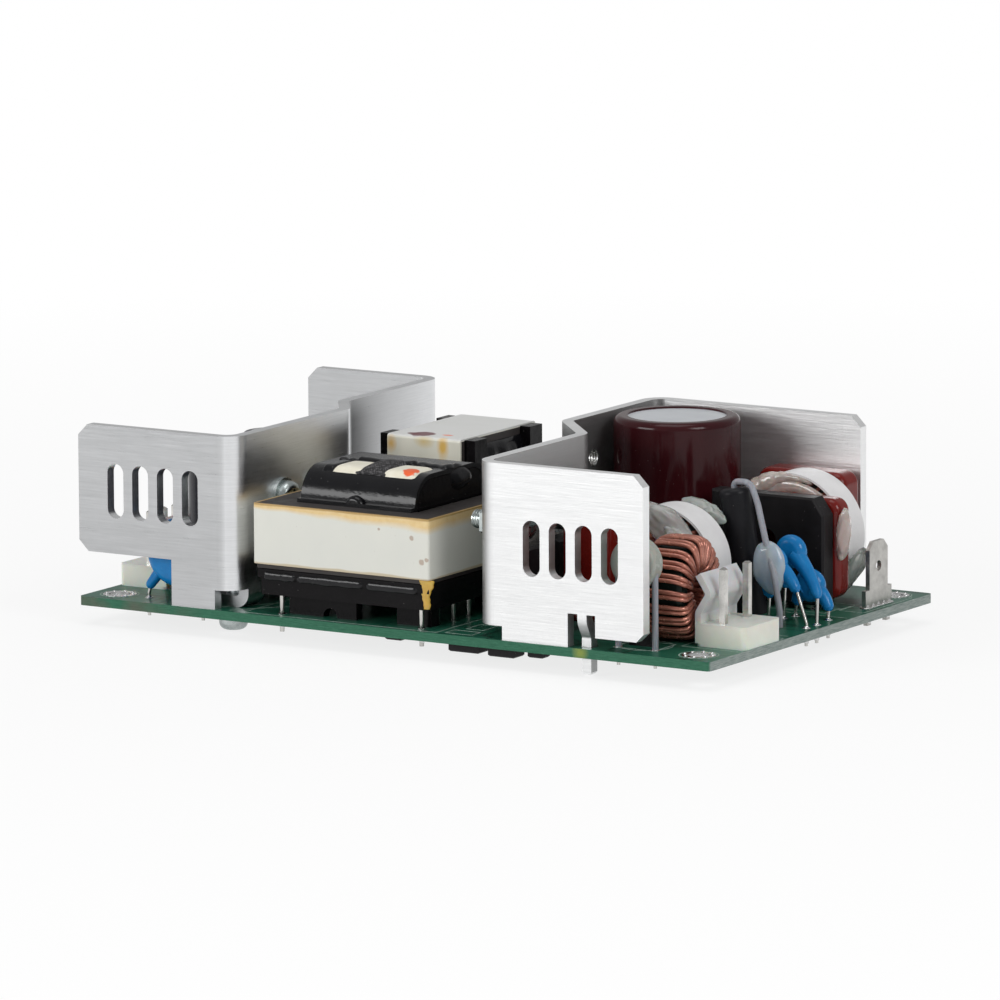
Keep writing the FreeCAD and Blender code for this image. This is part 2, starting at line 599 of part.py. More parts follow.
def power_device(face_x, outward, y, hole_height, head_on_wall, thread_end):
    """One flat power device on a wall: body, lead frame, pad, screw, washers and nut.

    face_x is the wall's face and outward is the way the device looks. The screw's
    head is on the bare side of the wall, or else on the device."""
    pad_face = face_x + outward * PAD_THICKNESS
    tab_face = pad_face + outward * DEVICE_TAB_THICKNESS
    body_face = pad_face + outward * DEVICE_BODY_DEPTH
    top = hole_height + DEVICE_HOLE_DROP
    bottom = top - DEVICE_TAB_HEIGHT
    half = DEVICE_WIDTH / 2

    def slab(x0, x1, y0, y1, z0, z1):
        return box(min(x0, x1), max(x0, x1), y0, y1, z0, z1)

    hole = rod(V(face_x - 9, y, hole_height), V(face_x + 9, y, hole_height), WALL_SCREW_RADIUS)
    tab = slab(pad_face, tab_face, y - half, y + half, bottom + 0.6, top)
    body = slab(pad_face, body_face, y - half, y + half, bottom, bottom + DEVICE_BODY_HEIGHT)
    lead_x = pad_face + outward * (DEVICE_BODY_DEPTH - 1.9)
    leads = []
    for step in (-1, 0, 1):
        lead_y = y + step * DEVICE_LEAD_PITCH
        leads.append(square_pin(lead_x, lead_y, bottom + 1.0, DEVICE_LEAD_SIZE))
    edges = [e for e in body.Edges if abs(e.CenterOfMass.x - body_face) < 1e-6]
    body = body.makeChamfer(0.5, edges).cut([tab] + leads)
    pad_half = half + PAD_SIDE_MARGIN
    pad = slab(face_x, pad_face, y - pad_half, y + pad_half, bottom - PAD_MARGIN, top + PAD_MARGIN)
    far_face = face_x - outward * SHEET

    def along(first, second, radius):
        return rod(V(first, y, hole_height), V(second, y, hole_height), radius)

    wall_seat = far_face - outward * WASHER_THICKNESS
    tab_seat = tab_face + outward * WASHER_THICKNESS
    washers = [along(far_face, wall_seat, WASHER_RADIUS), along(tab_face, tab_seat, WASHER_RADIUS)]
    washers = [washer.cut(hole) for washer in washers]
    if head_on_wall:
        head_seat, nut_seat, drive = wall_seat, tab_seat, outward
    else:
        head_seat, nut_seat, drive = tab_seat, wall_seat, -outward
    nut_end = nut_seat + drive * NUT_HEIGHT
    head_end = head_seat - drive * WALL_SCREW_HEAD_HEIGHT
    head = along(head_seat, head_end, WALL_SCREW_HEAD_RADIUS)
    rim = [e for e in head.Edges if e.Closed and abs(e.BoundBox.XMin - head_end) < 1e-6]
    head = head.makeFillet(WALL_SCREW_HEAD_HEIGHT * 0.6, rim)
    recess = slab(head_end - drive, head_end + drive * 0.8, y - 1.4, y + 1.4,
                  hole_height - 0.35, hole_height + 0.35)
    cross = recess.copy()
    cross.rotate(V(0, y, hole_height), V(1, 0, 0), 90)
    shank = along(head_seat, nut_end + drive * thread_end, WALL_SCREW_RADIUS)
    screw = fused([head, shank]).cut([recess, cross])
    corner = NUT_FLATS / math.sqrt(3)
    nut_points = []
    for number in range(6):
        angle = math.radians(60 * number + 90)
        nut_points.append(V(nut_seat, y + corner * math.cos(angle), hole_height + corner * math.sin(angle)))
    nut = outline_solid(nut_points, V(drive * NUT_HEIGHT, 0, 0)).cut(hole)
    return {"body": body, "frame": [tab.cut(hole)] + leads, "pad": pad.cut(hole), "screw": screw,
            "washers": washers, "nut": nut}


MAIN_LEFT = LEFT_WALL_FACE + MAIN_GAP_TO_WALL
MAIN_X = MAIN_LEFT + MAIN_TAPE + MAIN_CORE_LENGTH / 2
MAIN_Y = MAIN_FRONT + MAIN_TAPE + MAIN_CORE_WIDTH / 2
MAIN_Z = MAIN_CORE_BOTTOM + MAIN_CORE_THICKNESS / 2
MAIN_CORE_TOP = MAIN_CORE_BOTTOM + MAIN_CORE_THICKNESS
MAIN_BACK = MAIN_FRONT + MAIN_CORE_WIDTH + 2 * MAIN_TAPE


def main_core_half(side):
    """One E core: a back plate, two hollowed outer legs and a round centre leg."""
    outer = MAIN_X + side * MAIN_CORE_LENGTH / 2
    window_end = MAIN_X + side * MAIN_WINDOW_LENGTH / 2
    half = MAIN_CORE_WIDTH / 2
    block = box(min(MAIN_X, outer), max(MAIN_X, outer), MAIN_Y - half, MAIN_Y + half,
                MAIN_CORE_BOTTOM, MAIN_CORE_TOP)
    window = rod(V(MAIN_X, MAIN_Y, MAIN_Z), V(window_end, MAIN_Y, MAIN_Z), MAIN_WINDOW_RADIUS)
    leg = rod(V(MAIN_X, MAIN_Y, MAIN_Z), V(window_end, MAIN_Y, MAIN_Z), MAIN_LEG_RADIUS)
    return block.cut(window.cut(leg))


def main_tape():
    """The band of tape that holds the two cores together."""
    centre = V(MAIN_X, MAIN_Y, MAIN_CORE_BOTTOM + MAIN_TAPE_RAISE)
    length = MAIN_CORE_LENGTH + 2 * MAIN_TAPE
    width = MAIN_CORE_WIDTH + 2 * MAIN_TAPE
    outer = rounded_rectangle(centre, V(1, 0, 0), V(0, 1, 0), length, width, MAIN_TAPE)
    band = outer.extrude(V(0, 0, MAIN_CORE_THICKNESS - MAIN_TAPE_RAISE))
    return band.cut(box(MAIN_X - MAIN_CORE_LENGTH / 2, MAIN_X + MAIN_CORE_LENGTH / 2,
                        MAIN_Y - MAIN_CORE_WIDTH / 2, MAIN_Y + MAIN_CORE_WIDTH / 2,
                        MAIN_CORE_BOTTOM - 1, MAIN_CORE_TOP + 1))


def main_pin_places():
    """Plan positions of the transformer's two rows of pins."""
    row = (MAIN_PIN_COUNT - 1) * MAIN_PIN_PITCH
    places = []
    right = MAIN_LEFT + MAIN_CORE_LENGTH + 2 * MAIN_TAPE - MAIN_PIN_INSET + 1.3
    for x in (MAIN_LEFT + MAIN_PIN_INSET, right):
        for number in range(MAIN_PIN_COUNT):
            places.append((x, MAIN_Y - row / 2 + number * MAIN_PIN_PITCH))
    return places


def main_pins():
    """Round pins that stand in the base's rails."""
    return [straight_lead(x, y, MAIN_RAIL_BOTTOM + MAIN_PIN_DEPTH, PIN_RADIUS) for x, y in main_pin_places()]


def coil_bar(x0, x1, radius):
    """A round bar on the main coil's axis."""
    return rod(V(x0, MAIN_Y, MAIN_Z), V(x1, MAIN_Y, MAIN_Z), radius)


def cover_tunnel(x0, x1, inset):
    """A bar with the section of the cover's outside, shrunk by an inset."""
    half = COVER_WIDTH / 2 - inset
    base = MAIN_CORE_TOP
    top = base + COVER_HEIGHT - inset
    points = [V(x0, MAIN_Y - half, base), V(x0, MAIN_Y - half, top),
              V(x0, MAIN_Y + half, top), V(x0, MAIN_Y + half, base)]
    corner = COVER_CORNER - inset
    edges = rounded_path(points, [corner, corner])
    edges.append(Part.LineSegment(points[-1], points[0]).toShape())
    return Part.Face(Part.Wire(edges)).extrude(V(x1 - x0, 0, 0))


def main_bobbin(pins):
    """The coil former: a tube and two flanges on a base frame that carries the pins."""
    x0 = MAIN_X - MAIN_FORMER_LENGTH / 2
    x1 = MAIN_X + MAIN_FORMER_LENGTH / 2
    bore = MAIN_LEG_RADIUS + 0.15
    rail_top = MAIN_CORE_BOTTOM - 0.1
    left = MAIN_LEFT + 1.1
    right = MAIN_LEFT + MAIN_CORE_LENGTH + 2 * MAIN_TAPE - 0.6
    front = MAIN_FRONT + 0.9
    back = MAIN_BACK - 0.9
    frame = box(left, right, front, back, MAIN_RAIL_BOTTOM, rail_top)
    lip = box(left - 0.5, right + 0.3, front - 0.5, back + 0.5, rail_top - 1.5, rail_top)
    inside = box(x0, x1, front + 3.4, back - 3.4, 0, MAIN_CORE_BOTTOM)
    parts = [fused([frame, lip]).cut(inside), coil_bar(x0, x1, bore + MAIN_FORMER_WALL)]
    for x in (x0, x1 - MAIN_FLANGE_THICKNESS):
        end = x + MAIN_FLANGE_THICKNESS
        parts.append(coil_bar(x, end, MAIN_FLANGE_RADIUS))
        parts.append(cover_tunnel(x, end, COVER_WALL + 0.1))
        parts.append(box(x, end, MAIN_Y - 8.5, MAIN_Y + 8.5, MAIN_RAIL_BOTTOM, MAIN_Z))
        parts.append(box(x, end, front + 2, back - 2, MAIN_RAIL_BOTTOM, rail_top))
    lug_front = MAIN_FRONT + 3.2
    notch_x = MAIN_X - 4.2
    notch = rod(V(notch_x, 0, 0.2), V(notch_x, MAIN_Y, 0.2), 1.4)
    front_foot = box(left + 4.2, MAIN_X + 1.1, lug_front, lug_front + 1.9, 0, MAIN_RAIL_BOTTOM + 0.5)
    parts.append(front_foot.cut(notch))
    right_lug = lug_front + 0.5
    back_lug = 2 * MAIN_Y - right_lug - 2.6
    for x, y in ((left + 6.0, back_lug), (right - 6.4, right_lug), (right - 6.4, back_lug)):
        parts.append(box(x - 1.8, x + 5.1, y, y + 2.6, 0, MAIN_RAIL_BOTTOM + 0.5))
    return fused(parts).cut([coil_bar(x0 - 1, x1 + 1, bore)] + pins)


def main_winding():
    """The coil, wrapped in its outer tape, between the former's flanges."""
    inner = MAIN_LEG_RADIUS + 0.15 + MAIN_FORMER_WALL
    x0 = MAIN_X - MAIN_FORMER_LENGTH / 2 + MAIN_FLANGE_THICKNESS
    x1 = MAIN_X + MAIN_FORMER_LENGTH / 2 - MAIN_FLANGE_THICKNESS
    return coil_bar(x0, x1, MAIN_COIL_RADIUS).cut(coil_bar(x0 - 1, x1 + 1, inner))


def main_cover():
    """The insulating cover over the coil: an arched tunnel with two windows in its crown."""
    x0 = MAIN_X - MAIN_FORMER_LENGTH / 2
    x1 = MAIN_X + MAIN_FORMER_LENGTH / 2
    base = MAIN_CORE_TOP
    front = MAIN_Y - COVER_WIDTH / 2
    hollow = cover_tunnel(x0, x1, COVER_WALL)
    cuts = [hollow]
    window_y = front + COVER_WINDOW_FRONT + COVER_WINDOW_DEPTH / 2
    for left, right in ((2.8, 6.3), (15.6, 20.9)):
        centre = V(x0 + (left + right) / 2, window_y, MAIN_Z)
        face = rounded_rectangle(centre, V(1, 0, 0), V(0, 1, 0), right - left, COVER_WINDOW_DEPTH, 1.0)
        cuts.append(face.extrude(V(0, 0, HEATSINK_HEIGHT)))
    shell = cover_tunnel(x0, x1, 0)
    feet = box(x0, x1, front - COVER_FOOT, front + COVER_WIDTH + COVER_FOOT, base, base + COVER_FOOT_HEIGHT)
    nub_x = MAIN_X - 0.3
    nub = rod(V(nub_x, front - COVER_FOOT, base), V(nub_x, front + 2, base), COVER_NUB_RADIUS)
    rim = [e for e in nub.Edges if e.Closed and e.BoundBox.YMax < front]
    nub = nub.makeFillet(0.8, rim).common(box(nub_x - 3, nub_x + 3, 0, MAIN_Y, base, base + 4))
    return fused([shell, feet, nub]).cut(cuts)


REAR_FRONT = MAIN_BACK + REAR_GAP
REAR_BACK = REAR_FRONT + REAR_LENGTH + 2 * REAR_TAPE
REAR_MIDDLE = (REAR_FRONT + REAR_BACK) / 2
REAR_RIGHT = REAR_LEFT + REAR_WIDTH
REAR_CORE_TOP = REAR_TOP - REAR_TAPE
REAR_CORE_BOTTOM = REAR_BOTTOM + REAR_TAPE
REAR_AXIS = (REAR_CORE_TOP + REAR_CORE_BOTTOM) / 2


def rear_core_half(side):
    """One E core on edge: a yoke and three legs that meet the other half's."""
    outer = REAR_MIDDLE + side * REAR_LENGTH / 2
    yoke = outer - side * REAR_YOKE
    y0, y1 = sorted((REAR_MIDDLE, outer))
    w0, w1 = sorted((REAR_MIDDLE, yoke))
    block = box(REAR_LEFT, REAR_RIGHT, y0, y1, REAR_CORE_BOTTOM, REAR_CORE_TOP)
    half_leg = REAR_CENTRE_LEG / 2
    upper = box(REAR_LEFT, REAR_RIGHT, w0, w1, REAR_AXIS + half_leg, REAR_CORE_TOP - REAR_OUTER_LEG)
    lower = box(REAR_LEFT, REAR_RIGHT, w0, w1, REAR_CORE_BOTTOM + REAR_OUTER_LEG, REAR_AXIS - half_leg)
    return block.cut([upper, lower])


def rear_tape():
    """Tape round the two cores, over the top and both ends."""
    centre = V(REAR_LEFT, REAR_MIDDLE, REAR_AXIS)
    length = REAR_LENGTH + 2 * REAR_TAPE
    outer = rounded_rectangle(centre, V(0, 1, 0), V(0, 0, 1), length, REAR_TOP - REAR_BOTTOM,
                              REAR_TAPE * 1.5)
    band = outer.extrude(V(REAR_WIDTH, 0, 0))
    half = REAR_LENGTH / 2
    return band.cut(box(REAR_LEFT - 1, REAR_RIGHT + 1, REAR_MIDDLE - half, REAR_MIDDLE + half,
                        REAR_CORE_BOTTOM, REAR_CORE_TOP))


def rear_pins():
    """Four pins under each flange of the rear inductor."""
    row = (REAR_PIN_COUNT - 1) * REAR_PIN_PITCH
    first_x = REAR_LEFT + REAR_WIDTH / 2 - row / 2
    pins = []
    for y in (REAR_FRONT + REAR_PIN_INSET, REAR_BACK - REAR_PIN_INSET):
        for number in range(REAR_PIN_COUNT):
            x = first_x + number * REAR_PIN_PITCH
            pins.append(straight_lead(x, y, REAR_BOTTOM - 0.6, PIN_RADIUS))
    return pins


REAR_COIL_FRONT = REAR_FRONT + REAR_TAPE + REAR_YOKE + REAR_FLANGE
REAR_COIL_BACK = REAR_BACK - REAR_TAPE - REAR_YOKE - REAR_FLANGE


def rear_bobbin(pins):
    """The rear coil former: a square tube and two flanges with wings beside the yokes."""
    half_leg = REAR_CENTRE_LEG / 2
    wall = REAR_FORMER_WALL
    left = REAR_LEFT - REAR_FLANGE_OVERHANG
    right = REAR_RIGHT + REAR_FLANGE_OVERHANG
    gap = 0.1
    parts = [box(REAR_LEFT - wall - gap, REAR_RIGHT + wall + gap,
                 REAR_COIL_FRONT - 0.5, REAR_COIL_BACK + 0.5,
                 REAR_AXIS - half_leg - wall - gap, REAR_AXIS + half_leg + wall + gap)]
    wings = ((REAR_FRONT + REAR_WING_INSET, REAR_COIL_FRONT), (REAR_COIL_BACK, REAR_BACK - REAR_WING_INSET))
    for y0, y1 in wings:
        parts.append(box(left, right, y0, y1, 0, REAR_TOP - 0.2))
    former = fused(parts)
    before = REAR_FRONT - 1
    behind = REAR_BACK + 1
    yoke_end = REAR_FRONT + REAR_TAPE + REAR_YOKE + 0.05
    yoke_start = REAR_BACK - REAR_TAPE - REAR_YOKE - 0.05
    low = REAR_BOTTOM - 0.1
    x0 = REAR_LEFT - gap
    x1 = REAR_RIGHT + gap
    cuts = [box(x0, x1, before, behind, REAR_AXIS - half_leg - gap, REAR_AXIS + half_leg + gap),
            box(x0, x1, before, behind, REAR_CORE_TOP - REAR_OUTER_LEG - gap, REAR_TOP + 1),
            box(x0, x1, before, behind, low, REAR_CORE_BOTTOM + REAR_OUTER_LEG + gap),
            box(x0, x1, before, yoke_end, low, REAR_TOP + 1),
            box(x0, x1, yoke_start, behind, low, REAR_TOP + 1),
            box(REAR_LEFT + 1, REAR_RIGHT - 1, before, behind, -1, REAR_BOTTOM - 1.2)]
    return former.cut(cuts + pins)


def rear_winding():
    """The rear coil as one wrapped block round the former's tube."""
    half_leg = REAR_CENTRE_LEG / 2
    wall = REAR_FORMER_WALL + 0.1
    centre = V(REAR_LEFT + REAR_WIDTH / 2, REAR_COIL_FRONT, REAR_AXIS)
    width = REAR_WIDTH + 2 * REAR_FLANGE_OVERHANG - 0.6
    height = REAR_CORE_TOP - REAR_CORE_BOTTOM - 2 * REAR_OUTER_LEG - 0.4
    face = rounded_rectangle(centre, V(1, 0, 0), V(0, 0, 1), width, height, 2.6)
    coil = face.extrude(V(0, REAR_COIL_BACK - REAR_COIL_FRONT, 0))
    return coil.cut(box(REAR_LEFT - wall, REAR_RIGHT + wall, REAR_COIL_FRONT - 1, REAR_COIL_BACK + 1,
                        REAR_AXIS - half_leg - wall, REAR_AXIS + half_leg + wall))


def revolved(points, radii, x, y):
    """A profile of radius and height, turned about an upright axis."""
    shifted = [V(x + point[0], y, point[1]) for point in points]
    edges = rounded_path(shifted, radii)
    edges.append(Part.LineSegment(shifted[-1], shifted[0]).toShape())
    return Part.Face(Part.Wire(edges)).revolve(V(x, y, 0), V(0, 0, 1), 360)


def bulk_capacitor():
    """The can, its shrunk sleeve with a rolled lip, the end disc and two pins."""
    x, y = BULK_X, BULK_Y
    can_radius = BULK_RADIUS - BULK_SLEEVE
    can_top = BULK_HEIGHT - BULK_SLEEVE - BULK_DISC_THICKNESS
    inner_corner = BULK_CORNER - BULK_SLEEVE
    can = revolved([(0, BULK_FOOT), (can_radius, BULK_FOOT), (can_radius, can_top), (0, can_top)],
                   [inner_corner, inner_corner], x, y)
    disc_radius = can_radius - inner_corner - 0.1
    disc = rod(V(x, y, can_top), V(x, y, can_top + BULK_DISC_THICKNESS), disc_radius)
    lip = BULK_RADIUS - BULK_LIP
    outside = revolved([(0, BULK_FOOT - BULK_SLEEVE), (BULK_RADIUS, BULK_FOOT - BULK_SLEEVE),
                        (BULK_RADIUS, BULK_HEIGHT), (0, BULK_HEIGHT)], [BULK_CORNER, BULK_CORNER], x, y)
    bore = rod(V(x, y, -1), V(x, y, BULK_HEIGHT + 1), lip)
    sleeve = outside.cut([can, disc, bore])
    solids = sorted(sleeve.Solids, key=lambda solid: solid.Volume)
    leads = []
    for side in (-1, 1):
        leads.append(straight_lead(x + side * BULK_PIN_PITCH / 2, y, BULK_FOOT, 0.6))
    return {"can": can, "disc": disc, "sleeve": solids[-1], "leads": leads}


HEADER_RIGHT = BOARD_LENGTH - HEADER_EDGE_GAP
HEADER_LEFT = HEADER_RIGHT - HEADER_WIDTH


def latch_wall(x, facing, y0, length):
    """The header's thin friction wall: upright, bent towards the pins and back again."""
    middle = x + facing * HEADER_WALL / 2
    peak = middle + facing * HEADER_LATCH_REACH
    points = [V(middle, y0, 0.5), V(middle, y0, HEADER_LATCH_BOTTOM), V(peak, y0, HEADER_LATCH_PEAK),
              V(middle, y0, HEADER_WALL_HEIGHT)]
    return folded_strip(points, HEADER_WALL, 0.4, V(0, 1, 0)).extrude(V(0, length, 0))


def header(x0, facing, y0, pin_steps, length):
    """A moulded header with its latch wall at x0; facing gives the side of the pins."""
    width = HEADER_WIDTH
    centre = V(x0 + facing * width / 2, y0 + length / 2, 0)
    base = rounded_rectangle(centre, V(1, 0, 0), V(0, 1, 0), width, length, HEADER_CORNER)
    body = fused([base.extrude(V(0, 0, HEADER_BASE)), latch_wall(x0, facing, y0, length)])
    pins = []
    pin_x = x0 + facing * HEADER_PIN_SET
    for step in pin_steps:
        pins.append(square_pin(pin_x, y0 + HEADER_PIN_PITCH / 2 + step * HEADER_PIN_PITCH, HEADER_PIN_TOP,
                               HEADER_PIN_SIZE))
    tips = []
    for pin in pins:
        edges = [e for e in pin.Edges if abs(e.BoundBox.ZMin - HEADER_PIN_TOP) < 1e-6]
        tips.append(pin.makeChamfer(0.35, edges))
    return body.cut(tips), tips


def wound_turn(inner, outer, half_thickness, wire_radius, slack):
    """One closed turn round a toroid's section, in the plane of x and z."""
    reach = wire_radius + slack
    x0 = inner - reach
    x1 = outer + reach
    half = half_thickness + reach
    corner = wire_radius * 1.6
    middle = V((x0 + x1) / 2, 0, -half)
    loop = [middle, V(x1, 0, -half), V(x1, 0, half), V(x0, 0, half), V(x0, 0, -half), middle]
    return swept_wire(loop, [corner] * 4, wire_radius)


def toroid(inner, outer, half_thickness, corner):
    """A ring of rectangular section with round corners, about the z axis."""
    centre = V((inner + outer) / 2, 0, 0)
    face = rounded_rectangle(centre, V(1, 0, 0), V(0, 0, 1), outer - inner, 2 * half_thickness, corner)
    return face.revolve(V(0, 0, 0), V(0, 0, 1), 360)


def stand_up(shape, x, y, z, turn):
    """Turn a ring from the z axis to a level axis, then put its middle in place."""
    stood = shape.copy()
    stood.rotate(V(0, 0, 0), V(0, 1, 0), 90)
    stood.rotate(V(0, 0, 0), V(0, 0, 1), turn)
    stood.translate(V(x, y, z))
    return stood


def ring_turns(turn, count, spread, first):
    """Copies of one turn set round the ring at even angles, with slight unevenness."""
    turns = []
    for number in range(count):
        angle = first + number * spread / count + 0.8 * math.sin(number * 2.3)
        copy = turn.copy()
        copy.rotate(V(0, 0, 0), V(0, 0, 1), angle)
        turns.append(copy)
    return turns


def boost_choke():
    """The bare wound toroid at the front right, on edge."""
    half = BOOST_CORE_THICKNESS / 2
    reach = 2 * BOOST_WIRE_RADIUS + BOOST_WIRE_LOOSENESS
    height = BOOST_CORE_OUTER + reach + 0.15
    core = toroid(BOOST_CORE_INNER, BOOST_CORE_OUTER, half, 0.9)
    turn = wound_turn(BOOST_CORE_INNER, BOOST_CORE_OUTER, half, BOOST_WIRE_RADIUS, BOOST_WIRE_LOOSENESS)
    turns = ring_turns(turn, BOOST_TURNS, BOOST_SPREAD, 12.0)
    place = (BOOST_X, BOOST_Y, height, BOOST_TURN)
    stood = [stand_up(item, *place) for item in turns]
    leads = []
    axis = V(math.cos(math.radians(BOOST_TURN)), math.sin(math.radians(BOOST_TURN)), 0)
    for side in (-1, 1):
        foot = V(BOOST_X, BOOST_Y, 0) + axis * (side * (half + reach + 0.6)) + V(0, -1.5, 0)
        leads.append(straight_lead(foot.x, foot.y, BOOST_CORE_OUTER - 2.5, BOOST_WIRE_RADIUS))
    return {"core": stand_up(core, *place), "turns": stood, "leads": leads}


def line_choke(x, front, radius, thickness):
    """A wound toroid on edge with tape round its rim, its axis along y."""
    half = thickness / 2
    reach = 2 * LINE_WIRE_RADIUS + 0.1
    core_outer = radius - LINE_TAPE - reach - 0.05
    core_half = half - reach
    core = toroid(LINE_CORE_INNER, core_outer, core_half, 0.6)
    turn = wound_turn(LINE_CORE_INNER, core_outer, core_half, LINE_WIRE_RADIUS, 0.1)
    turns = ring_turns(turn, LINE_TURNS, 344.0, 8.0)
    band = rod(V(0, 0, -half), V(0, 0, half), radius)
    band = band.cut(rod(V(0, 0, -half - 1), V(0, 0, half + 1), radius - LINE_TAPE))
    place = (x, front + half, radius, 90.0)
    leads = []
    for side_x in (-3.2, 3.2):
        for y in (front + 0.9, front + thickness - 0.9):
            leads.append(straight_lead(x + side_x, y, 0.2, LINE_WIRE_RADIUS))
    return {"core": stand_up(core, *place), "turns": [stand_up(item, *place) for item in turns],
            "tape": stand_up(band, *place), "leads": leads}


def bridge_rectifier():
    """A flat moulded rectifier with a cut corner, a screw hole and four flat leads."""
    x0 = BRIDGE_LEFT
    x1 = x0 + BRIDGE_WIDTH
    z0 = BRIDGE_BOTTOM
    z1 = z0 + BRIDGE_HEIGHT
    cut = BRIDGE_CORNER_CUT
    outline = [V(x0, BRIDGE_FRONT, z0), V(x1, BRIDGE_FRONT, z0), V(x1, BRIDGE_FRONT, z1 - cut),
               V(x1 - cut * 0.7, BRIDGE_FRONT, z1), V(x0, BRIDGE_FRONT, z1)]
    body = outline_solid(outline, V(0, BRIDGE_DEPTH, 0))
    edges = [e for e in body.Edges if abs(e.BoundBox.YMax - BRIDGE_FRONT) < 1e-6]
    body = body.makeChamfer(0.35, edges)
    hole_x = x0 + BRIDGE_WIDTH / 2
    hole_z = z0 + BRIDGE_HEIGHT * 0.58
    hole_start = V(hole_x, BRIDGE_FRONT - 1, hole_z)
    body = body.cut(rod(hole_start, hole_start + V(0, BRIDGE_DEPTH + 2, 0), BRIDGE_HOLE_RADIUS))
    leads = []
    for number in range(4):
        x = hole_x + (number - 1.5) * BRIDGE_LEAD_PITCH
        leads.append(square_pin(x, BRIDGE_FRONT + BRIDGE_DEPTH / 2, z0, BRIDGE_LEAD_SIZE))
    return body, leads


def film_capacitor(x0, x1, y0, y1, top):
    """A dipped film capacitor: a pillow of resin with two leads."""
    centre = V((x0 + x1) / 2, y0, (FILM_BOTTOM + top) / 2)
    face = rounded_rectangle(centre, V(1, 0, 0), V(0, 0, 1), x1 - x0, top - FILM_BOTTOM, FILM_CORNER * 1.5)
    body = face.extrude(V(0, y1 - y0, 0))
    edges = [e for e in body.Edges if e.BoundBox.YLength < 1e-6]
    body = body.makeFillet(FILM_CORNER * 0.8, edges)
    middle = (y0 + y1) / 2
    leads = []
    for x in (x0 + FILM_LEAD_INSET + FILM_CORNER, x1 - FILM_LEAD_INSET - FILM_CORNER):
        leads.append(straight_lead(x, middle, FILM_BOTTOM))
    return body, leads


def disc_capacitor(centre, radius, thickness, leg_radius, legs):
    """A coated disc, round at its rim, with coated legs that thin to bare leads.

    legs holds, for each leg, how far from the disc's middle its coating ends in x and y,
    the height of that end, and how far from the middle the lead meets the board."""
    half = thickness / 2
    profile = [V(0, 0, -half), V(radius, 0, -half), V(radius, 0, half), V(0, 0, half)]
    edges = rounded_path(profile, [half - 0.02] * 2)
    edges.append(Part.LineSegment(profile[-1], profile[0]).toShape())
    disc = Part.Face(Part.Wire(edges)).revolve(V(0, 0, 0), V(0, 0, 1), 360)
    disc.rotate(V(0, 0, 0), V(1, 0, 0), 90)
    disc.translate(centre)
    parts = [disc]
    leads = []
    for neck_x, neck_y, neck_height, foot_x, foot_y in legs:
        neck = V(centre.x + neck_x, centre.y + neck_y, neck_height)
        foot = (centre.x + foot_x, centre.y + foot_y)
        side = 1 if neck_x > 0 else -1
        shoulder = centre + V(side * radius * 0.45, 0, -radius * 0.35)
        run = neck - shoulder
        parts.append(Part.makeCone(leg_radius * 1.3, leg_radius, run.Length, shoulder, run))
        parts.append(Part.makeSphere(leg_radius, neck))
        drill(foot[0], foot[1], 0.3)
        bend = V(foot[0], foot[1], 0.8)
        leads.append(swept_wire([neck, bend, V(foot[0], foot[1], -BOARD_THICKNESS - LEAD_TAIL)], [0.5], 0.3))
    return fused(parts).cut(leads), leads


def fuse():
    """A cartridge fuse on end in a shrunk sleeve, leaning, with a sleeved lead from its top."""
    foot = V(FUSE_X, FUSE_Y, FUSE_FOOT)
    top = foot + V(-FUSE_LEAN, 0, FUSE_HEIGHT - FUSE_FOOT)
    axis = (top - foot).normalize()
    outside = rod(foot, top, FUSE_RADIUS)
    rim = [e for e in outside.Edges if e.Closed and e.BoundBox.ZMin > FUSE_HEIGHT / 2]
    outside = outside.makeFillet(1.0, rim)
    body_start = foot + axis * 0.8
    body_end = body_start + axis * FUSE_BODY_LENGTH
    cartridge = rod(body_start, body_end, FUSE_RADIUS - FUSE_SLEEVE)
    tail = -BOARD_THICKNESS - LEAD_TAIL
    lower = swept_wire([body_start, V(foot.x, foot.y, 0.1), V(foot.x, foot.y, tail)], [0.4], LEAD_RADIUS)
    drill(foot.x, foot.y, LEAD_RADIUS)
    down = V(FUSE_X + 8.5, FUSE_Y - 5.2, tail)
    path = [body_end, top + axis * 1.1, V(FUSE_X - 0.1, FUSE_Y - 0.3, FUSE_HEIGHT + 1.3),
            V(FUSE_X + 1.7, FUSE_Y - 0.9, FUSE_HEIGHT - 2.3),
            V(FUSE_X + 5.1, FUSE_Y - 4.3, FUSE_HEIGHT - 7.4),
            V(FUSE_X + 7.9, FUSE_Y - 5.9, 8.7), V(down.x, down.y, 2.6), down]
    lead = swept_wire(path, [1.0, 2.2, 4.0, 6.0, 8.0, 2.4], RETURN_LEAD_RADIUS)
    drill(down.x, down.y, RETURN_LEAD_RADIUS)
    cartridge = cartridge.cut([lower, lead])
    sleeve = outside.cut([cartridge, lower, lead])
    return {"sleeve": sleeve, "cartridge": cartridge, "lead": lead, "lower": lower}


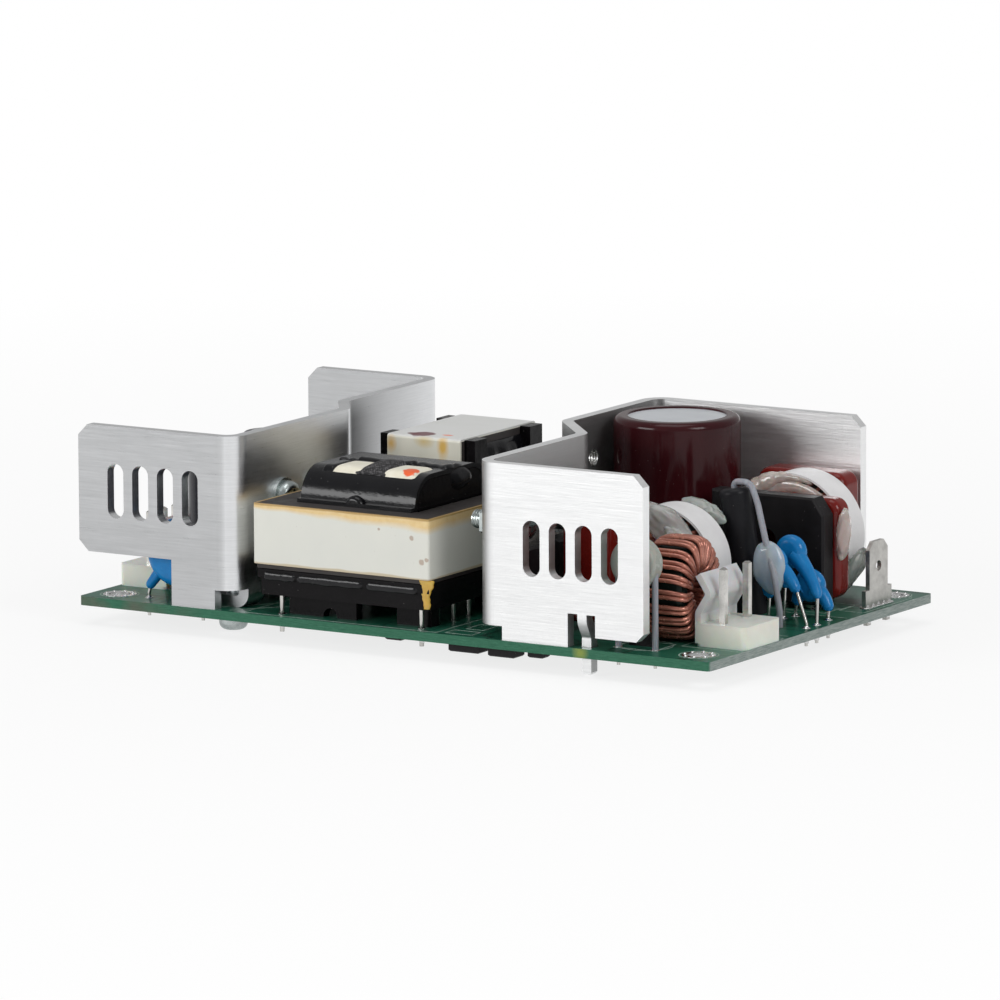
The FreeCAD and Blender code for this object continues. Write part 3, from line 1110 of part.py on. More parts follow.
def blade_terminal():
    """A flat blade for a push-on tab, with shoulders on the board and two legs."""
    x0 = BLADE_X
    half = BLADE_WIDTH / 2
    shoulder = BLADE_SHOULDER_WIDTH / 2
    top = BLADE_HEIGHT
    corner = BLADE_CORNER
    step = BLADE_SHOULDER_HEIGHT
    half_outline = [(shoulder, 0), (shoulder, step), (half, step),
                    (half, top - corner), (half - corner, top)]
    outline = [V(x0, BLADE_Y + across, z) for across, z in half_outline]
    outline += [V(x0, BLADE_Y - across, z) for across, z in reversed(half_outline)]
    blade = outline_solid(outline, V(BLADE_THICKNESS, 0, 0))
    hole_start = V(x0 - 1, BLADE_Y, BLADE_HOLE_HEIGHT)
    blade = blade.cut(rod(hole_start, hole_start + V(3, 0, 0), BLADE_HOLE_RADIUS))
    legs = []
    for side in (-1, 1):
        y = BLADE_Y + side * (shoulder - BLADE_LEG_WIDTH)
        leg = box(x0, x0 + BLADE_THICKNESS, y - BLADE_LEG_WIDTH / 2, y + BLADE_LEG_WIDTH / 2,
                  -BOARD_THICKNESS - LEAD_TAIL, 0.5)
        drill(x0 + BLADE_THICKNESS / 2, y, BLADE_LEG_WIDTH * 0.65)
        legs.append(leg)
    return fused([blade] + legs)


def inrush_limiter():
    """A thick disc on two sleeved leads behind the right front flange."""
    centre = V(LIMITER_X, LIMITER_Y - LIMITER_THICKNESS / 2, LIMITER_HEIGHT)
    disc = rod(centre, centre + V(0, LIMITER_THICKNESS, 0), LIMITER_RADIUS)
    disc = disc.makeFillet(0.8, [e for e in disc.Edges if e.Closed])
    sleeves = []
    leads = []
    for side in (-1, 1):
        x = LIMITER_X + side * LIMITER_LEAD_PITCH / 2
        sleeve = rod(V(x, LIMITER_Y, 0), V(x, LIMITER_Y, LIMITER_HEIGHT), LIMITER_SLEEVE_RADIUS)
        leads.append(straight_lead(x, LIMITER_Y, LIMITER_HEIGHT, 0.3))
        sleeves.append(sleeve.cut([disc, leads[-1]]).Solids[0])
        leads[-1] = leads[-1].cut(disc)
    return disc, sleeves, leads


def radial_capacitor(x, y, radius, height):
    """A can with a groove near its foot, and its two leads."""
    foot = OUTPUT_CAPACITOR_FOOT
    groove = OUTPUT_CAPACITOR_GROOVE
    profile = [(0, foot), (radius, foot), (radius, foot + 1.4), (radius - groove, foot + 2.0),
               (radius, foot + 2.6), (radius, height), (0, height)]
    can = revolved(profile, [0.3, 0.4, 0.4, 0.4, 0.6], x, y)
    pitch = OUTPUT_CAPACITOR_LEAD_PITCH * radius / OUTPUT_CAPACITOR_RADIUS
    leads = [straight_lead(x - pitch / 2, y, foot), straight_lead(x + pitch / 2, y, foot)]
    return can, leads


def surface_parts():
    """Flat packages soldered to the underside along the front, and two on top."""
    pins_middle = REAR_MIDDLE - 1.4
    right = BOARD_LENGTH
    places = ((61.2, 2.6, 3.3, 1.6, 0.9), (74.7, 1.4, 6.0, 3.9, 1.5), (82.7, 1.2, 5.2, 3.4, 1.6),
              (90.6, 1.2, 3.0, 2.4, 1.1), (REAR_LEFT + 6.1, pins_middle, 6.2, 4.0, 1.6),
              (MAIN_X + 1.0, MAIN_Y + 8.2, 9.9, 6.2, 1.8), (REAR_LEFT - 2.9, REAR_BACK - 1.9, 5.0, 4.0, 1.6),
              (70.0, 55.0, 3.2, 1.6, 0.8), (right - 29.0, 43.0, 4.6, 2.6, 2.0),
              (right - 35.0, 24.0, 4.6, 2.6, 2.0))
    parts = []
    for x, y, length, width, height in places:
        block = box(x, x + length, y, y + width, -BOARD_THICKNESS - height, -BOARD_THICKNESS)
        low = -BOARD_THICKNESS - height
        edges = [e for e in block.Edges if abs(e.BoundBox.ZMax - low) < 1e-6]
        parts.append(block.makeChamfer(0.25, edges))
    return parts


def top_parts():
    """A small diode behind the right foot and an isolator near the step."""
    right = BOARD_LENGTH
    diode = box(right - 20.1, right - 15.8, 7.4, 9.6, 0, 1.7)
    left = REAR_RIGHT + 6.1
    isolator = box(left, left + 4.6, 55.0, 61.4, 0.5, 4.0)
    edges = [e for e in isolator.Edges if abs(e.BoundBox.ZMin - 4.0) < 1e-6]
    isolator = isolator.makeChamfer(0.4, edges)
    legs = []
    for x in (left - 0.4, left + 5.0):
        for y in (56.93, 59.47):
            legs.append(square_pin(x, y, 2.2, 0.5))
    return diode, isolator, legs


def circuit_board():
    """The board with its round corners, mounting holes and every hole for a lead."""
    centre = V(BOARD_LENGTH / 2, BOARD_WIDTH / 2, -BOARD_THICKNESS)
    face = rounded_rectangle(centre, V(1, 0, 0), V(0, 1, 0), BOARD_LENGTH, BOARD_WIDTH, BOARD_CORNER_RADIUS)
    plate = face.extrude(V(0, 0, BOARD_THICKNESS))
    cuts = list(board_cuts)
    for x in (MOUNT_HOLE_INSET, BOARD_LENGTH - MOUNT_HOLE_INSET):
        for y in (MOUNT_HOLE_INSET, BOARD_WIDTH - MOUNT_HOLE_INSET):
            cuts.append(rod(V(x, y, -2 * BOARD_THICKNESS), V(x, y, BOARD_THICKNESS), MOUNT_HOLE_RADIUS))
    return plate.cut(cuts)


def save(name, shapes):
    """Move one node to the mounting frame and write it."""
    solids = []
    for shape in shapes if isinstance(shapes, list) else [shapes]:
        solids += shape.Solids
    whole = solids[0] if len(solids) == 1 else Part.makeCompound(solids)
    whole = whole.copy()
    whole.translate(V(-BOARD_LENGTH / 2, -BOARD_WIDTH / 2, BOARD_THICKNESS))
    bounds = whole.BoundBox
    valid = all(solid.isValid() and solid.Volume > 0 for solid in solids)
    print(f"{name}: {len(solids)} solids, volume {whole.Volume:.1f}, valid {valid}, "
          f"x {bounds.XMin:.1f} to {bounds.XMax:.1f}, y {bounds.YMin:.1f} to {bounds.YMax:.1f}, "
          f"z {bounds.ZMin:.1f} to {bounds.ZMax:.1f}")
    whole.exportStep(f"parts/{name}.step")


def build():
    """Make every piece in turn and save it under its own name."""
    os.makedirs("parts", exist_ok=True)
    save("left_heatsink", left_heatsink())
    save("right_heatsink", right_heatsink())
    save("board_screws", board_screws())

    devices = {}
    left_face = LEFT_WALL_FACE - SHEET
    right_face = RIGHT_WALL_FACE + SHEET
    names = ("output_rectifier_front", "output_rectifier_rear")
    for name, y in zip(names, device_places(LEFT_DEVICE_Y)):
        devices[name] = power_device(left_face, -1, y, LEFT_DEVICE_HOLE_HEIGHT, True, 0.8)
    names = ("switching_transistor_front", "switching_transistor_rear")
    for name, y in zip(names, device_places(RIGHT_DEVICE_Y)):
        devices[name] = power_device(right_face, 1, y, RIGHT_DEVICE_HOLE_HEIGHT, False, THREAD_END)
    groups = {"device_lead_frames": [], "insulating_pads": [], "device_screws": [], "device_washers": [],
              "device_nuts": []}
    for name, device in devices.items():
        save(name, device["body"])
        groups["device_lead_frames"] += device["frame"]
        groups["insulating_pads"].append(device["pad"])
        groups["device_screws"].append(device["screw"])
        groups["device_washers"] += device["washers"]
        groups["device_nuts"].append(device["nut"])
    for name, shapes in groups.items():
        save(name, shapes)

    save("main_transformer_core_left", main_core_half(-1))
    save("main_transformer_core_right", main_core_half(1))
    save("main_transformer_tape", main_tape())
    pins = main_pins()
    save("main_transformer_pins", pins)
    save("main_transformer_bobbin", main_bobbin(pins))
    save("main_transformer_winding", main_winding())
    save("main_transformer_cover", main_cover())

    save("rear_inductor_core_front", rear_core_half(-1))
    save("rear_inductor_core_back", rear_core_half(1))
    save("rear_inductor_tape", rear_tape())
    pins = rear_pins()
    save("rear_inductor_pins", pins)
    save("rear_inductor_bobbin", rear_bobbin(pins))
    save("rear_inductor_winding", rear_winding())

    bulk = bulk_capacitor()
    save("bulk_capacitor_can", bulk["can"])
    save("bulk_capacitor_sleeve", bulk["sleeve"])
    save("bulk_capacitor_disc", bulk["disc"])
    component_leads.extend(bulk["leads"])

    steps = (0, 2)
    housing, pins = header(HEADER_LEFT, 1, HEADER_FRONT, steps, HEADER_LENGTH)
    save("input_header_housing", housing)
    length = OUTPUT_HEADER_PINS * HEADER_PIN_PITCH
    start = OUTPUT_HEADER_SET + HEADER_WIDTH
    housing, output_pins = header(start, -1, HEADER_FRONT + 0.4, range(OUTPUT_HEADER_PINS), length)
    save("output_header_housing", housing)
    save("header_pins", pins + output_pins)

    boost = boost_choke()
    save("boost_choke_core", boost["core"])
    save("boost_choke_winding", boost["turns"])
    component_leads.extend(boost["leads"])
    first = line_choke(FIRST_LINE_X, FIRST_LINE_FRONT, FIRST_LINE_RADIUS, FIRST_LINE_THICKNESS)
    second = line_choke(SECOND_LINE_X, SECOND_LINE_FRONT, SECOND_LINE_RADIUS, SECOND_LINE_THICKNESS)
    for name, choke in (("first_line_choke", first), ("second_line_choke", second)):
        save(f"{name}_core", choke["core"])
        save(f"{name}_winding", choke["turns"])
        save(f"{name}_tape", choke["tape"])
        component_leads.extend(choke["leads"])

    body, leads = bridge_rectifier()
    save("bridge_rectifier", body)
    component_leads.extend(leads)

    films = {"front_film_capacitor": (RIGHT_WALL_FACE + FRONT_FILM_FROM_WALL, FRONT_FILM_LENGTH,
                                      FRONT_FILM_Y, FRONT_FILM_DEPTH, FRONT_FILM_TOP),
             "middle_film_capacitor": (BOARD_LENGTH - MIDDLE_FILM_INSET, LINE_FILM_LENGTH,
                                       BOARD_WIDTH - MIDDLE_FILM_BACK_INSET, MIDDLE_FILM_DEPTH,
                                       MIDDLE_FILM_TOP),
             "rear_film_capacitor": (BOARD_LENGTH - REAR_FILM_INSET, LINE_FILM_LENGTH,
                                     BOARD_WIDTH - REAR_FILM_BACK_INSET, REAR_FILM_DEPTH,
                                     REAR_FILM_TOP)}
    for name, (left, length, front, depth, top) in films.items():
        body, leads = film_capacitor(left, left + length, front, front + depth, top)
        save(name, body)
        component_leads.extend(leads)

    front = V(BOARD_LENGTH - FRONT_DISC_INSET, FRONT_DISC_Y, FRONT_DISC_CENTRE)
    middle = V(BOARD_LENGTH - MIDDLE_DISC_INSET, MIDDLE_DISC_Y, MIDDLE_DISC_CENTRE)
    rear = V(BOARD_LENGTH - REAR_DISC_INSET, REAR_DISC_Y, REAR_DISC_CENTRE)
    discs = {"line_disc_capacitor_front": (front, ((-0.6, 0.2, 5.0, -0.9, 0.2),
                                                   (5.2, -0.8, 6.6, 7.3, -1.0))),
             "line_disc_capacitor_middle": (middle, ((-1.3, 0.3, 6.0, -1.7, 0.3),
                                                     (6.4, -2.2, 5.2, 6.5, -2.6))),
             "line_disc_capacitor_rear": (rear, ((-2.6, 0.0, 2.6, -2.9, 0.0),
                                                 (3.9, -0.4, 2.2, 3.9, -0.7)))}
    for name, (centre, legs) in discs.items():
        body, leads = disc_capacitor(centre, DISC_RADIUS, DISC_THICKNESS, DISC_LEG_RADIUS, legs)
        save(name, body)
        component_leads.extend(leads)
    centre = V(LARGE_DISC_X, LARGE_DISC_Y, LARGE_DISC_CENTRE)
    legs = ((-5.6, -0.3, 2.4, -5.9, -0.4), (4.8, 0.0, 3.0, 5.0, 0.0))
    body, leads = disc_capacitor(centre, LARGE_DISC_RADIUS, LARGE_DISC_THICKNESS,
                                 LARGE_DISC_LEG_RADIUS, legs)
    save("output_disc_capacitor", body)
    component_leads.extend(leads)

    parts = fuse()
    save("fuse_cartridge", parts["cartridge"])
    save("fuse_sleeve", parts["sleeve"])
    save("fuse_return_lead", parts["lead"])
    component_leads.append(parts["lower"])
    save("earth_blade_terminal", blade_terminal())

    disc, sleeves, leads = inrush_limiter()
    save("inrush_limiter", disc)
    save("inrush_limiter_sleeves", sleeves)
    component_leads.extend(leads)

    for number in range(OUTPUT_CAPACITOR_COUNT):
        x = OUTPUT_CAPACITOR_X if number else OUTPUT_CAPACITOR_FIRST_X
        y = OUTPUT_CAPACITOR_FIRST_Y + number * OUTPUT_CAPACITOR_PITCH
        can, leads = radial_capacitor(x, y, OUTPUT_CAPACITOR_RADIUS, OUTPUT_CAPACITOR_HEIGHT)
        save(f"output_capacitor_{number + 1}", can)
        component_leads.extend(leads)
    diode, isolator, legs = top_parts()
    save("isolator", isolator)
    component_leads.extend(legs)
    save("surface_parts", surface_parts() + [diode])
    save("component_leads", component_leads)
    save("circuit_board", circuit_board())


build()
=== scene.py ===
# %% [markdown]
# # An open frame power supply, dressed for its photograph
#
# The packed model already holds every solid: a circuit board, two folded
# aluminium heatsinks, and the transformers, chokes, capacitors and headers
# that stand between them. This notebook leaves those solids where they are. It
# gives each one the finish of the real part, and adds what a solid model leaves
# out: solder, white board print, tape, glue, wound wire and screw threads.

import math

import bmesh
import bpy
import numpy as np
from mathutils import Matrix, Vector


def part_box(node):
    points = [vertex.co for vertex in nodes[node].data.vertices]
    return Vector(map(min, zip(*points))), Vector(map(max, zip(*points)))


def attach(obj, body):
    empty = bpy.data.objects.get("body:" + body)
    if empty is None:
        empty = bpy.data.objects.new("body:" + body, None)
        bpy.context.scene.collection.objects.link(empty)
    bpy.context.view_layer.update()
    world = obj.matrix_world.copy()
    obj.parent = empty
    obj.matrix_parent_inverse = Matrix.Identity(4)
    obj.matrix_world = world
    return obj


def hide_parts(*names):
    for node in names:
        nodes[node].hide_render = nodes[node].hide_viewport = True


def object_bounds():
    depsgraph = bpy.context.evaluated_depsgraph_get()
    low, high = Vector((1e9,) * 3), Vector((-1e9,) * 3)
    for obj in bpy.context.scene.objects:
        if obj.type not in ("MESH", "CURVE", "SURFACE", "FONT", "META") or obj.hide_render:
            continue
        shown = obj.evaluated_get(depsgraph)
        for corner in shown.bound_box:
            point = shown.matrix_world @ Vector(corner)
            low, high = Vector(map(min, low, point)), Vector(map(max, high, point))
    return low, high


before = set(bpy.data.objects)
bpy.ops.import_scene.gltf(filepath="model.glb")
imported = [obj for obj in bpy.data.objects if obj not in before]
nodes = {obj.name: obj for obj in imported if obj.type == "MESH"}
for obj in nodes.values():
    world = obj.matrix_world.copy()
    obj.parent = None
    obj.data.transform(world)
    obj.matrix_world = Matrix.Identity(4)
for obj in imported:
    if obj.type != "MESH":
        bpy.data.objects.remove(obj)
cad_low, cad_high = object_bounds()
print(len(nodes), "packed nodes")

# %% [markdown]
# ## Measures
#
# The real board is drawn in millimetres from its front left corner, on its top
# face, so the new pieces are too. One function turns such a measure into metres
# in the packed frame. It reads the corner from the packed board, so a board of
# another size carries the pieces that are set out from that corner along.

# %% Board measures to packed metres
MM = 0.001
board_low, board_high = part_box("circuit_board")
CORNER = np.array([board_low.x, board_low.y, board_high.z])
BOARD_LENGTH = (board_high.x - board_low.x) / MM
BOARD_WIDTH = (board_high.y - board_low.y) / MM
BOARD_THICKNESS = (board_high.z - board_low.z) / MM


def lay(points):
    """Metres in the packed frame: the board's corner plus the millimetres."""
    return CORNER + np.asarray(points, float) * MM


def measured_box(node):
    """A packed node's lowest and highest corner, in board millimetres."""
    low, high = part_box(node)
    return (np.array(low) - CORNER) / MM, (np.array(high) - CORNER) / MM


print("board", round(BOARD_LENGTH, 1), round(BOARD_WIDTH, 1), round(BOARD_THICKNESS, 2))

# %% [markdown]
# ## The camera
#
# The photograph was taken from far away with a long lens, from the front right
# and a little above. The camera's three axes were fitted to the board's edges
# and to the heatsinks' corners, and are kept here as one rotation matrix. A
# camera can be turned by eye until it looks right, but a fitted one puts most
# edges within a few pixels of the real ones.

# %% Camera
CAMERA_PLACE = (0.89025, -1.44179, 0.30330)
CAMERA_RIGHT = (0.85104, 0.52508, -0.00513)
CAMERA_UP = (-0.08281, 0.14384, 0.98613)
CAMERA_BACK = (0.51853, -0.83881, 0.16590)
LENS_LENGTH = 357.0
SENSOR_WIDTH = 36.0

camera_data = bpy.data.cameras.new("camera")
camera_data.lens = LENS_LENGTH
camera_data.sensor_width = SENSOR_WIDTH
camera_data.clip_start = 0.05
camera_data.clip_end = 60.0
camera = bpy.data.objects.new("camera", camera_data)
bpy.context.scene.collection.objects.link(camera)
axes = Matrix((CAMERA_RIGHT, CAMERA_UP, CAMERA_BACK)).transposed().to_4x4()
camera.matrix_world = Matrix.Translation(CAMERA_PLACE) @ axes
bpy.context.scene.camera = camera
print("camera", round(math.hypot(*CAMERA_PLACE), 2), "m away, lens", LENS_LENGTH, "mm")

# %% [markdown]
# ## Nodes in one line
#
# A material is a small network of nodes. They can be placed by hand in the
# shader editor, but a dozen finishes made that way soon drift apart. Here each
# kind of node is one short call, which adds the node and connects or sets its
# inputs, so a finish reads like a recipe.

# %% Helpers for shader networks
def add(tree, kind, inputs=None, **settings):
    """Add one shader node; an input may be a number, a colour or another node's socket."""
    made = tree.nodes.new(kind)
    for key, value in settings.items():
        setattr(made, key, value)
    for key, value in (inputs or {}).items():
        if isinstance(value, bpy.types.NodeSocket):
            tree.links.new(value, made.inputs[key])
        else:
            made.inputs[key].default_value = value
    return made


def math_node(tree, operation, first, second=0.0):
    """One arithmetic step between two values."""
    return add(tree, "ShaderNodeMath", {0: first, 1: second}, operation=operation).outputs[0]


def times(tree, first, second):
    """The product of two values."""
    return math_node(tree, "MULTIPLY", first, second)


def parts_of(tree, vector):
    """The X, Y and Z of a vector, as sockets of those names."""
    return add(tree, "ShaderNodeSeparateXYZ", {0: vector}).outputs


def stretched(tree, vector, factors):
    """A vector with each part multiplied by its own factor."""
    return add(tree, "ShaderNodeVectorMath", {0: vector, 1: factors}, operation="MULTIPLY").outputs[0]


def between(tree, value, low, high, start=0.0, end=1.0):
    """A value moved from one range to another and held inside it."""
    inputs = {"Value": value, "From Min": low, "From Max": high, "To Min": start, "To Max": end}
    return add(tree, "ShaderNodeMapRange", inputs).outputs["Result"]


def mix_colour(tree, share, first, second):
    """A blend of two colours: the first where share is 0, the second where it is 1."""
    mixed = add(tree, "ShaderNodeMix", {"Factor": share}, data_type="RGBA")
    for socket, value in ((mixed.inputs[6], first), (mixed.inputs[7], second)):
        if isinstance(value, bpy.types.NodeSocket):
            tree.links.new(value, socket)
        else:
            socket.default_value = (*value, 1.0)
    return mixed.outputs[2]


print("node helpers:", ", ".join(f.__name__ for f in (add, math_node, times, parts_of, stretched,
                                                      between, mix_colour)))

# %% [markdown]
# ## Starting a finish
#
# Each finish starts from one Principled shader. Values that are the same all
# over the surface go straight on that shader's own sockets, where an export can
# read them. Patterns read Object coordinates. Every object here stands at the
# origin, so those are metres in the packed frame, and a pattern can be placed
# by measure. Last, a small function puts a finish on packed nodes.

# %% Start a finish and dress nodes
def finish(name, **plain):
    """A material with one Principled shader, and its plain values set on it."""
    material = bpy.data.materials.new(name)
    material.use_nodes = True
    shader = material.node_tree.nodes["Principled BSDF"]
    for key, value in plain.items():
        socket = shader.inputs[key.replace("_", " ")]
        socket.default_value = (*value, 1.0) if isinstance(value, tuple) else value
    return material, material.node_tree, shader


def object_place(tree):
    """Object coordinates in metres; every object stands at the origin."""
    return add(tree, "ShaderNodeTexCoord").outputs["Object"]


def raise_surface(tree, shader, height, distance, strength=1.0):
    """Bump from a height value, with its depth in metres."""
    bump = add(tree, "ShaderNodeBump", {"Height": height, "Distance": distance, "Strength": strength})
    tree.links.new(bump.outputs["Normal"], shader.inputs["Normal"])


def recolour(tree, shader, mask, colour):
    """Mix one more colour into what already feeds Base Color, where a mask is 1."""
    base = shader.inputs["Base Color"].links[0].from_socket
    tree.links.new(mix_colour(tree, mask, base, colour), shader.inputs["Base Color"])


def dress(material, *names):
    """Give packed nodes a finish in place of the plain one they came with."""
    for name in names:
        data = nodes[name].data
        data.materials.clear()
        data.materials.append(material)
        data.polygons.foreach_set("material_index", np.zeros(len(data.polygons), np.int32))
    print(material.name, "on", ", ".join(names))


print("a finish sets plain values and patterns, dress puts it on nodes")

# %% [markdown]
# ## Shared node groups
#
# Several finishes need the same effects. Copying the nodes into each of them
# would work, but then one change has to be made many times. So each effect is
# one node group with named sockets, placed in each material with its own values.

# %% How a group is made and placed
VECTOR = "NodeSocketVector"
NUMBER = "NodeSocketFloat"
GROUPS = {}


def node_group(name, inputs, outputs):
    """An empty group with its sockets; inputs are name, kind and default."""
    group = bpy.data.node_groups.new(name, "ShaderNodeTree")
    for label, kind, default in inputs:
        socket = group.interface.new_socket(label, in_out="INPUT", socket_type=kind)
        if default is not None:
            socket.default_value = default
    for label in outputs:
        group.interface.new_socket(label, in_out="OUTPUT", socket_type="NodeSocketFloat")
    GROUPS[name.replace("_", " ")] = group
    return group, group.nodes.new("NodeGroupInput").outputs, group.nodes.new("NodeGroupOutput").inputs


def place_group(tree, name, **inputs):
    """Put a shared group into a material and return its outputs."""
    return add(tree, "ShaderNodeGroup", inputs, node_tree=GROUPS[name]).outputs


def dab_mask(tree, centre, radius, **look):
    """The mask of one dab, whose centre and radius are board millimetres."""
    return place_group(tree, "dab", Place=object_place(tree), Centre=tuple(lay(centre)),
                       Radius=radius * MM, **look)["Mask"]


def noise(tree, place, scale, detail=3.0, roughness=0.5):
    """Cloud noise from 0 to 1 at a place; scale is in features per metre."""
    inputs = {"Vector": place, "Scale": scale, "Detail": detail, "Roughness": roughness}
    return add(tree, "ShaderNodeTexNoise", inputs).outputs["Fac"]


print("sockets are of the kinds", VECTOR, "and", NUMBER)

# %% [markdown]
# ## Grain, tone and grit
#
# **Rolled grain** is the fine lines that the mill leaves along a sheet: noise
# that is squeezed in one direction until it becomes streaks. **Cloudy tone** is
# the slow change of shade on any real surface. **Fine grit** is the tooth of
# moulded plastic, with a few specks of dust.

# %% Rolled grain, cloudy tone and fine grit
def rolled_grain_group():
    """Level streaks: noise squeezed along z, long ones with short ones laid over."""
    group, given, out = node_group("rolled_grain", [("Place", VECTOR, None), ("Streaks", NUMBER, 4200.0)],
                                   ["Streak"])
    factors = add(group, "ShaderNodeCombineXYZ", {"X": 90.0, "Y": 90.0, "Z": given["Streaks"]})
    squeezed = stretched(group, given["Place"], factors.outputs[0])
    long_lines = noise(group, squeezed, 1.0, 4.0, 0.65)
    short_lines = noise(group, stretched(group, squeezed, (3.1, 3.1, 1.7)), 1.0, 2.0, 0.5)
    both = math_node(group, "ADD", times(group, short_lines, 0.4), times(group, long_lines, 0.6))
    group.links.new(between(group, both, 0.3, 0.7), out["Streak"])


def cloudy_tone_group():
    """Slow noise, steepened about its middle."""
    group, given, out = node_group("cloudy_tone", [("Place", VECTOR, None), ("Scale", NUMBER, 200.0)],
                                   ["Tone"])
    clouds = noise(group, given["Place"], given["Scale"], 4.0, 0.6)
    group.links.new(between(group, clouds, 0.3, 0.7), out["Tone"])


def fine_grit_group():
    """Small even grains, and dust: the small cores of large cells."""
    group, given, out = node_group("fine_grit", [("Place", VECTOR, None), ("Scale", NUMBER, 6000.0)],
                                   ["Grain", "Dust"])
    group.links.new(noise(group, given["Place"], given["Scale"], 2.0), out["Grain"])
    cells = add(group, "ShaderNodeTexVoronoi", {"Vector": given["Place"], "Scale": 700.0})
    group.links.new(between(group, cells.outputs["Distance"], 0.03, 0.07, 1.0, 0.0), out["Dust"])


rolled_grain_group()
cloudy_tone_group()
fine_grit_group()
print(len(GROUPS), "shared groups:", ", ".join(GROUPS))

# %% [markdown]
# ## Dabs and stained rims
#
# **Dab** is a soft edged spot at a chosen place, for ink marks, drops and
# specks. **Stained rim** is varnish that has crept down from an upper edge.
# Both could be painted into an image, but a mask worked out from distance stays
# sharp at any size, and it can be moved by changing one number.

# %% Dab and stained rim
def dab_group():
    """One inside a ragged ball about a centre, zero outside it."""
    group, given, out = node_group(
        "dab", [("Place", VECTOR, None), ("Centre", VECTOR, (0, 0, 0)), ("Radius", NUMBER, 0.001),
                ("Shape", VECTOR, (1, 1, 1)), ("Ragged", NUMBER, 0.4), ("Soft", NUMBER, 0.3)], ["Mask"])
    away = add(group, "ShaderNodeVectorMath", {0: given["Place"], 1: given["Centre"]},
               operation="SUBTRACT").outputs[0]
    shaped = stretched(group, away, given["Shape"])
    distance = add(group, "ShaderNodeVectorMath", {0: shaped}, operation="LENGTH").outputs["Value"]
    share = math_node(group, "DIVIDE", distance, given["Radius"])
    rough = math_node(group, "SUBTRACT", noise(group, given["Place"], 900.0, 3.0), 0.5)
    moved = math_node(group, "ADD", share, times(group, rough, given["Ragged"]))
    inside = math_node(group, "SUBTRACT", 1.0, given["Soft"])
    group.links.new(between(group, moved, inside, 1.0, 1.0, 0.0), out["Mask"])


def stained_rim_group():
    """One at and above a height, fading out below it along a wavy border."""
    group, given, out = node_group(
        "stained_rim", [("Place", VECTOR, None), ("Height", NUMBER, 0.02), ("Depth", NUMBER, 0.002),
                        ("Waves", NUMBER, 1.5)], ["Mask"])
    below = math_node(group, "SUBTRACT", given["Height"], parts_of(group, given["Place"])["Z"])
    share = math_node(group, "DIVIDE", below, given["Depth"])
    clouds = math_node(group, "SUBTRACT", noise(group, given["Place"], 150.0, 2.0), 0.5)
    border = math_node(group, "ADD", share, times(group, clouds, given["Waves"]))
    group.links.new(between(group, border, 0.35, 0.75, 1.0, 0.0), out["Mask"])


dab_group()
stained_rim_group()
print(len(GROUPS), "shared groups:", ", ".join(GROUPS))

# %% [markdown]
# ## Rolled aluminium sheet
#
# The heatsinks are folded from bare sheet. Its rolling lines run level along
# each face and round the bends, so the grain is noise that is squeezed along z
# and left long in x and y. The same grain moves the tone, the gloss and the
# height, because a real line is all three at once.
#
# The two sheets aren't equally bright in the photograph. The right one is nearly white in front and greyer
# on its walls, the left one a middle grey in front and brighter on its walls. Lamps alone don't give that,
# so it is painted light: the left sheet's metal is painted darker, and each sheet has four painted shades
# for its places. The surface's normal tells a flange from a wall, and the place along the board's depth
# tells front from rear. The wall just behind the step has a painted shade for the dark inductor it mirrors,
# and the cut edges have a painted highlight.

# %% Heatsink sheet
# Places that set the painted light and shade: front to rear, the step in the walls, and the x range of the
# cut ends that get a painted highlight.
FRONT_END, REAR_END = lay((0, 10, 0))[1], lay((0, 60, 0))[1]
STEP_START, STEP_END = lay((0, 39, 0))[1], lay((0, 44, 0))[1]
BEHIND_STEP, WALL_END = lay((0, 46, 0))[1], lay((0, 74, 0))[1]
HIGHLIGHTED_CUT_ENDS = lay((112, 0, 0))[0], lay((112.5, 0, 0))[0]


def painted_light_by_place(tree, place, front, walls, rear, shade_behind_step):
    """Painted light by place: painted shades for walls, with more shade just behind their step, and for
    flanges front to rear; painted highlights on cut edges.
    """
    facing = parts_of(tree, add(tree, "ShaderNodeNewGeometry").outputs["Normal"])
    spot = parts_of(tree, place)
    flange_shade = between(tree, spot["Y"], FRONT_END, REAR_END, front, rear)
    # Painted shade on the wall just behind the step, where it mirrors the dark inductor.
    painted_step_shade = times(tree, between(tree, spot["Y"], STEP_START, STEP_END),
                   between(tree, spot["Y"], BEHIND_STEP, WALL_END, 1.0 - shade_behind_step, 0.0))
    wall = times(tree, math_node(tree, "SUBTRACT", 1.0, painted_step_shade), walls)
    # Painted highlights on the upright cut ends and on edges that face up or down.
    painted_end_highlight = between(tree, spot["X"], *HIGHLIGHTED_CUT_ENDS)
    painted_edge_highlight = between(tree, math_node(tree, "ABSOLUTE", facing["Z"]), 0.3, 0.7)
    wall = math_node(tree, "MAXIMUM", wall, math_node(tree, "MAXIMUM", painted_edge_highlight, painted_end_highlight))
    on_flange = between(tree, math_node(tree, "ABSOLUTE", facing["Y"]), 0.9, 0.995)
    return add(tree, "ShaderNodeMix", {"Factor": on_flange, "A": wall, "B": flange_shade},
               data_type="FLOAT").outputs[0]


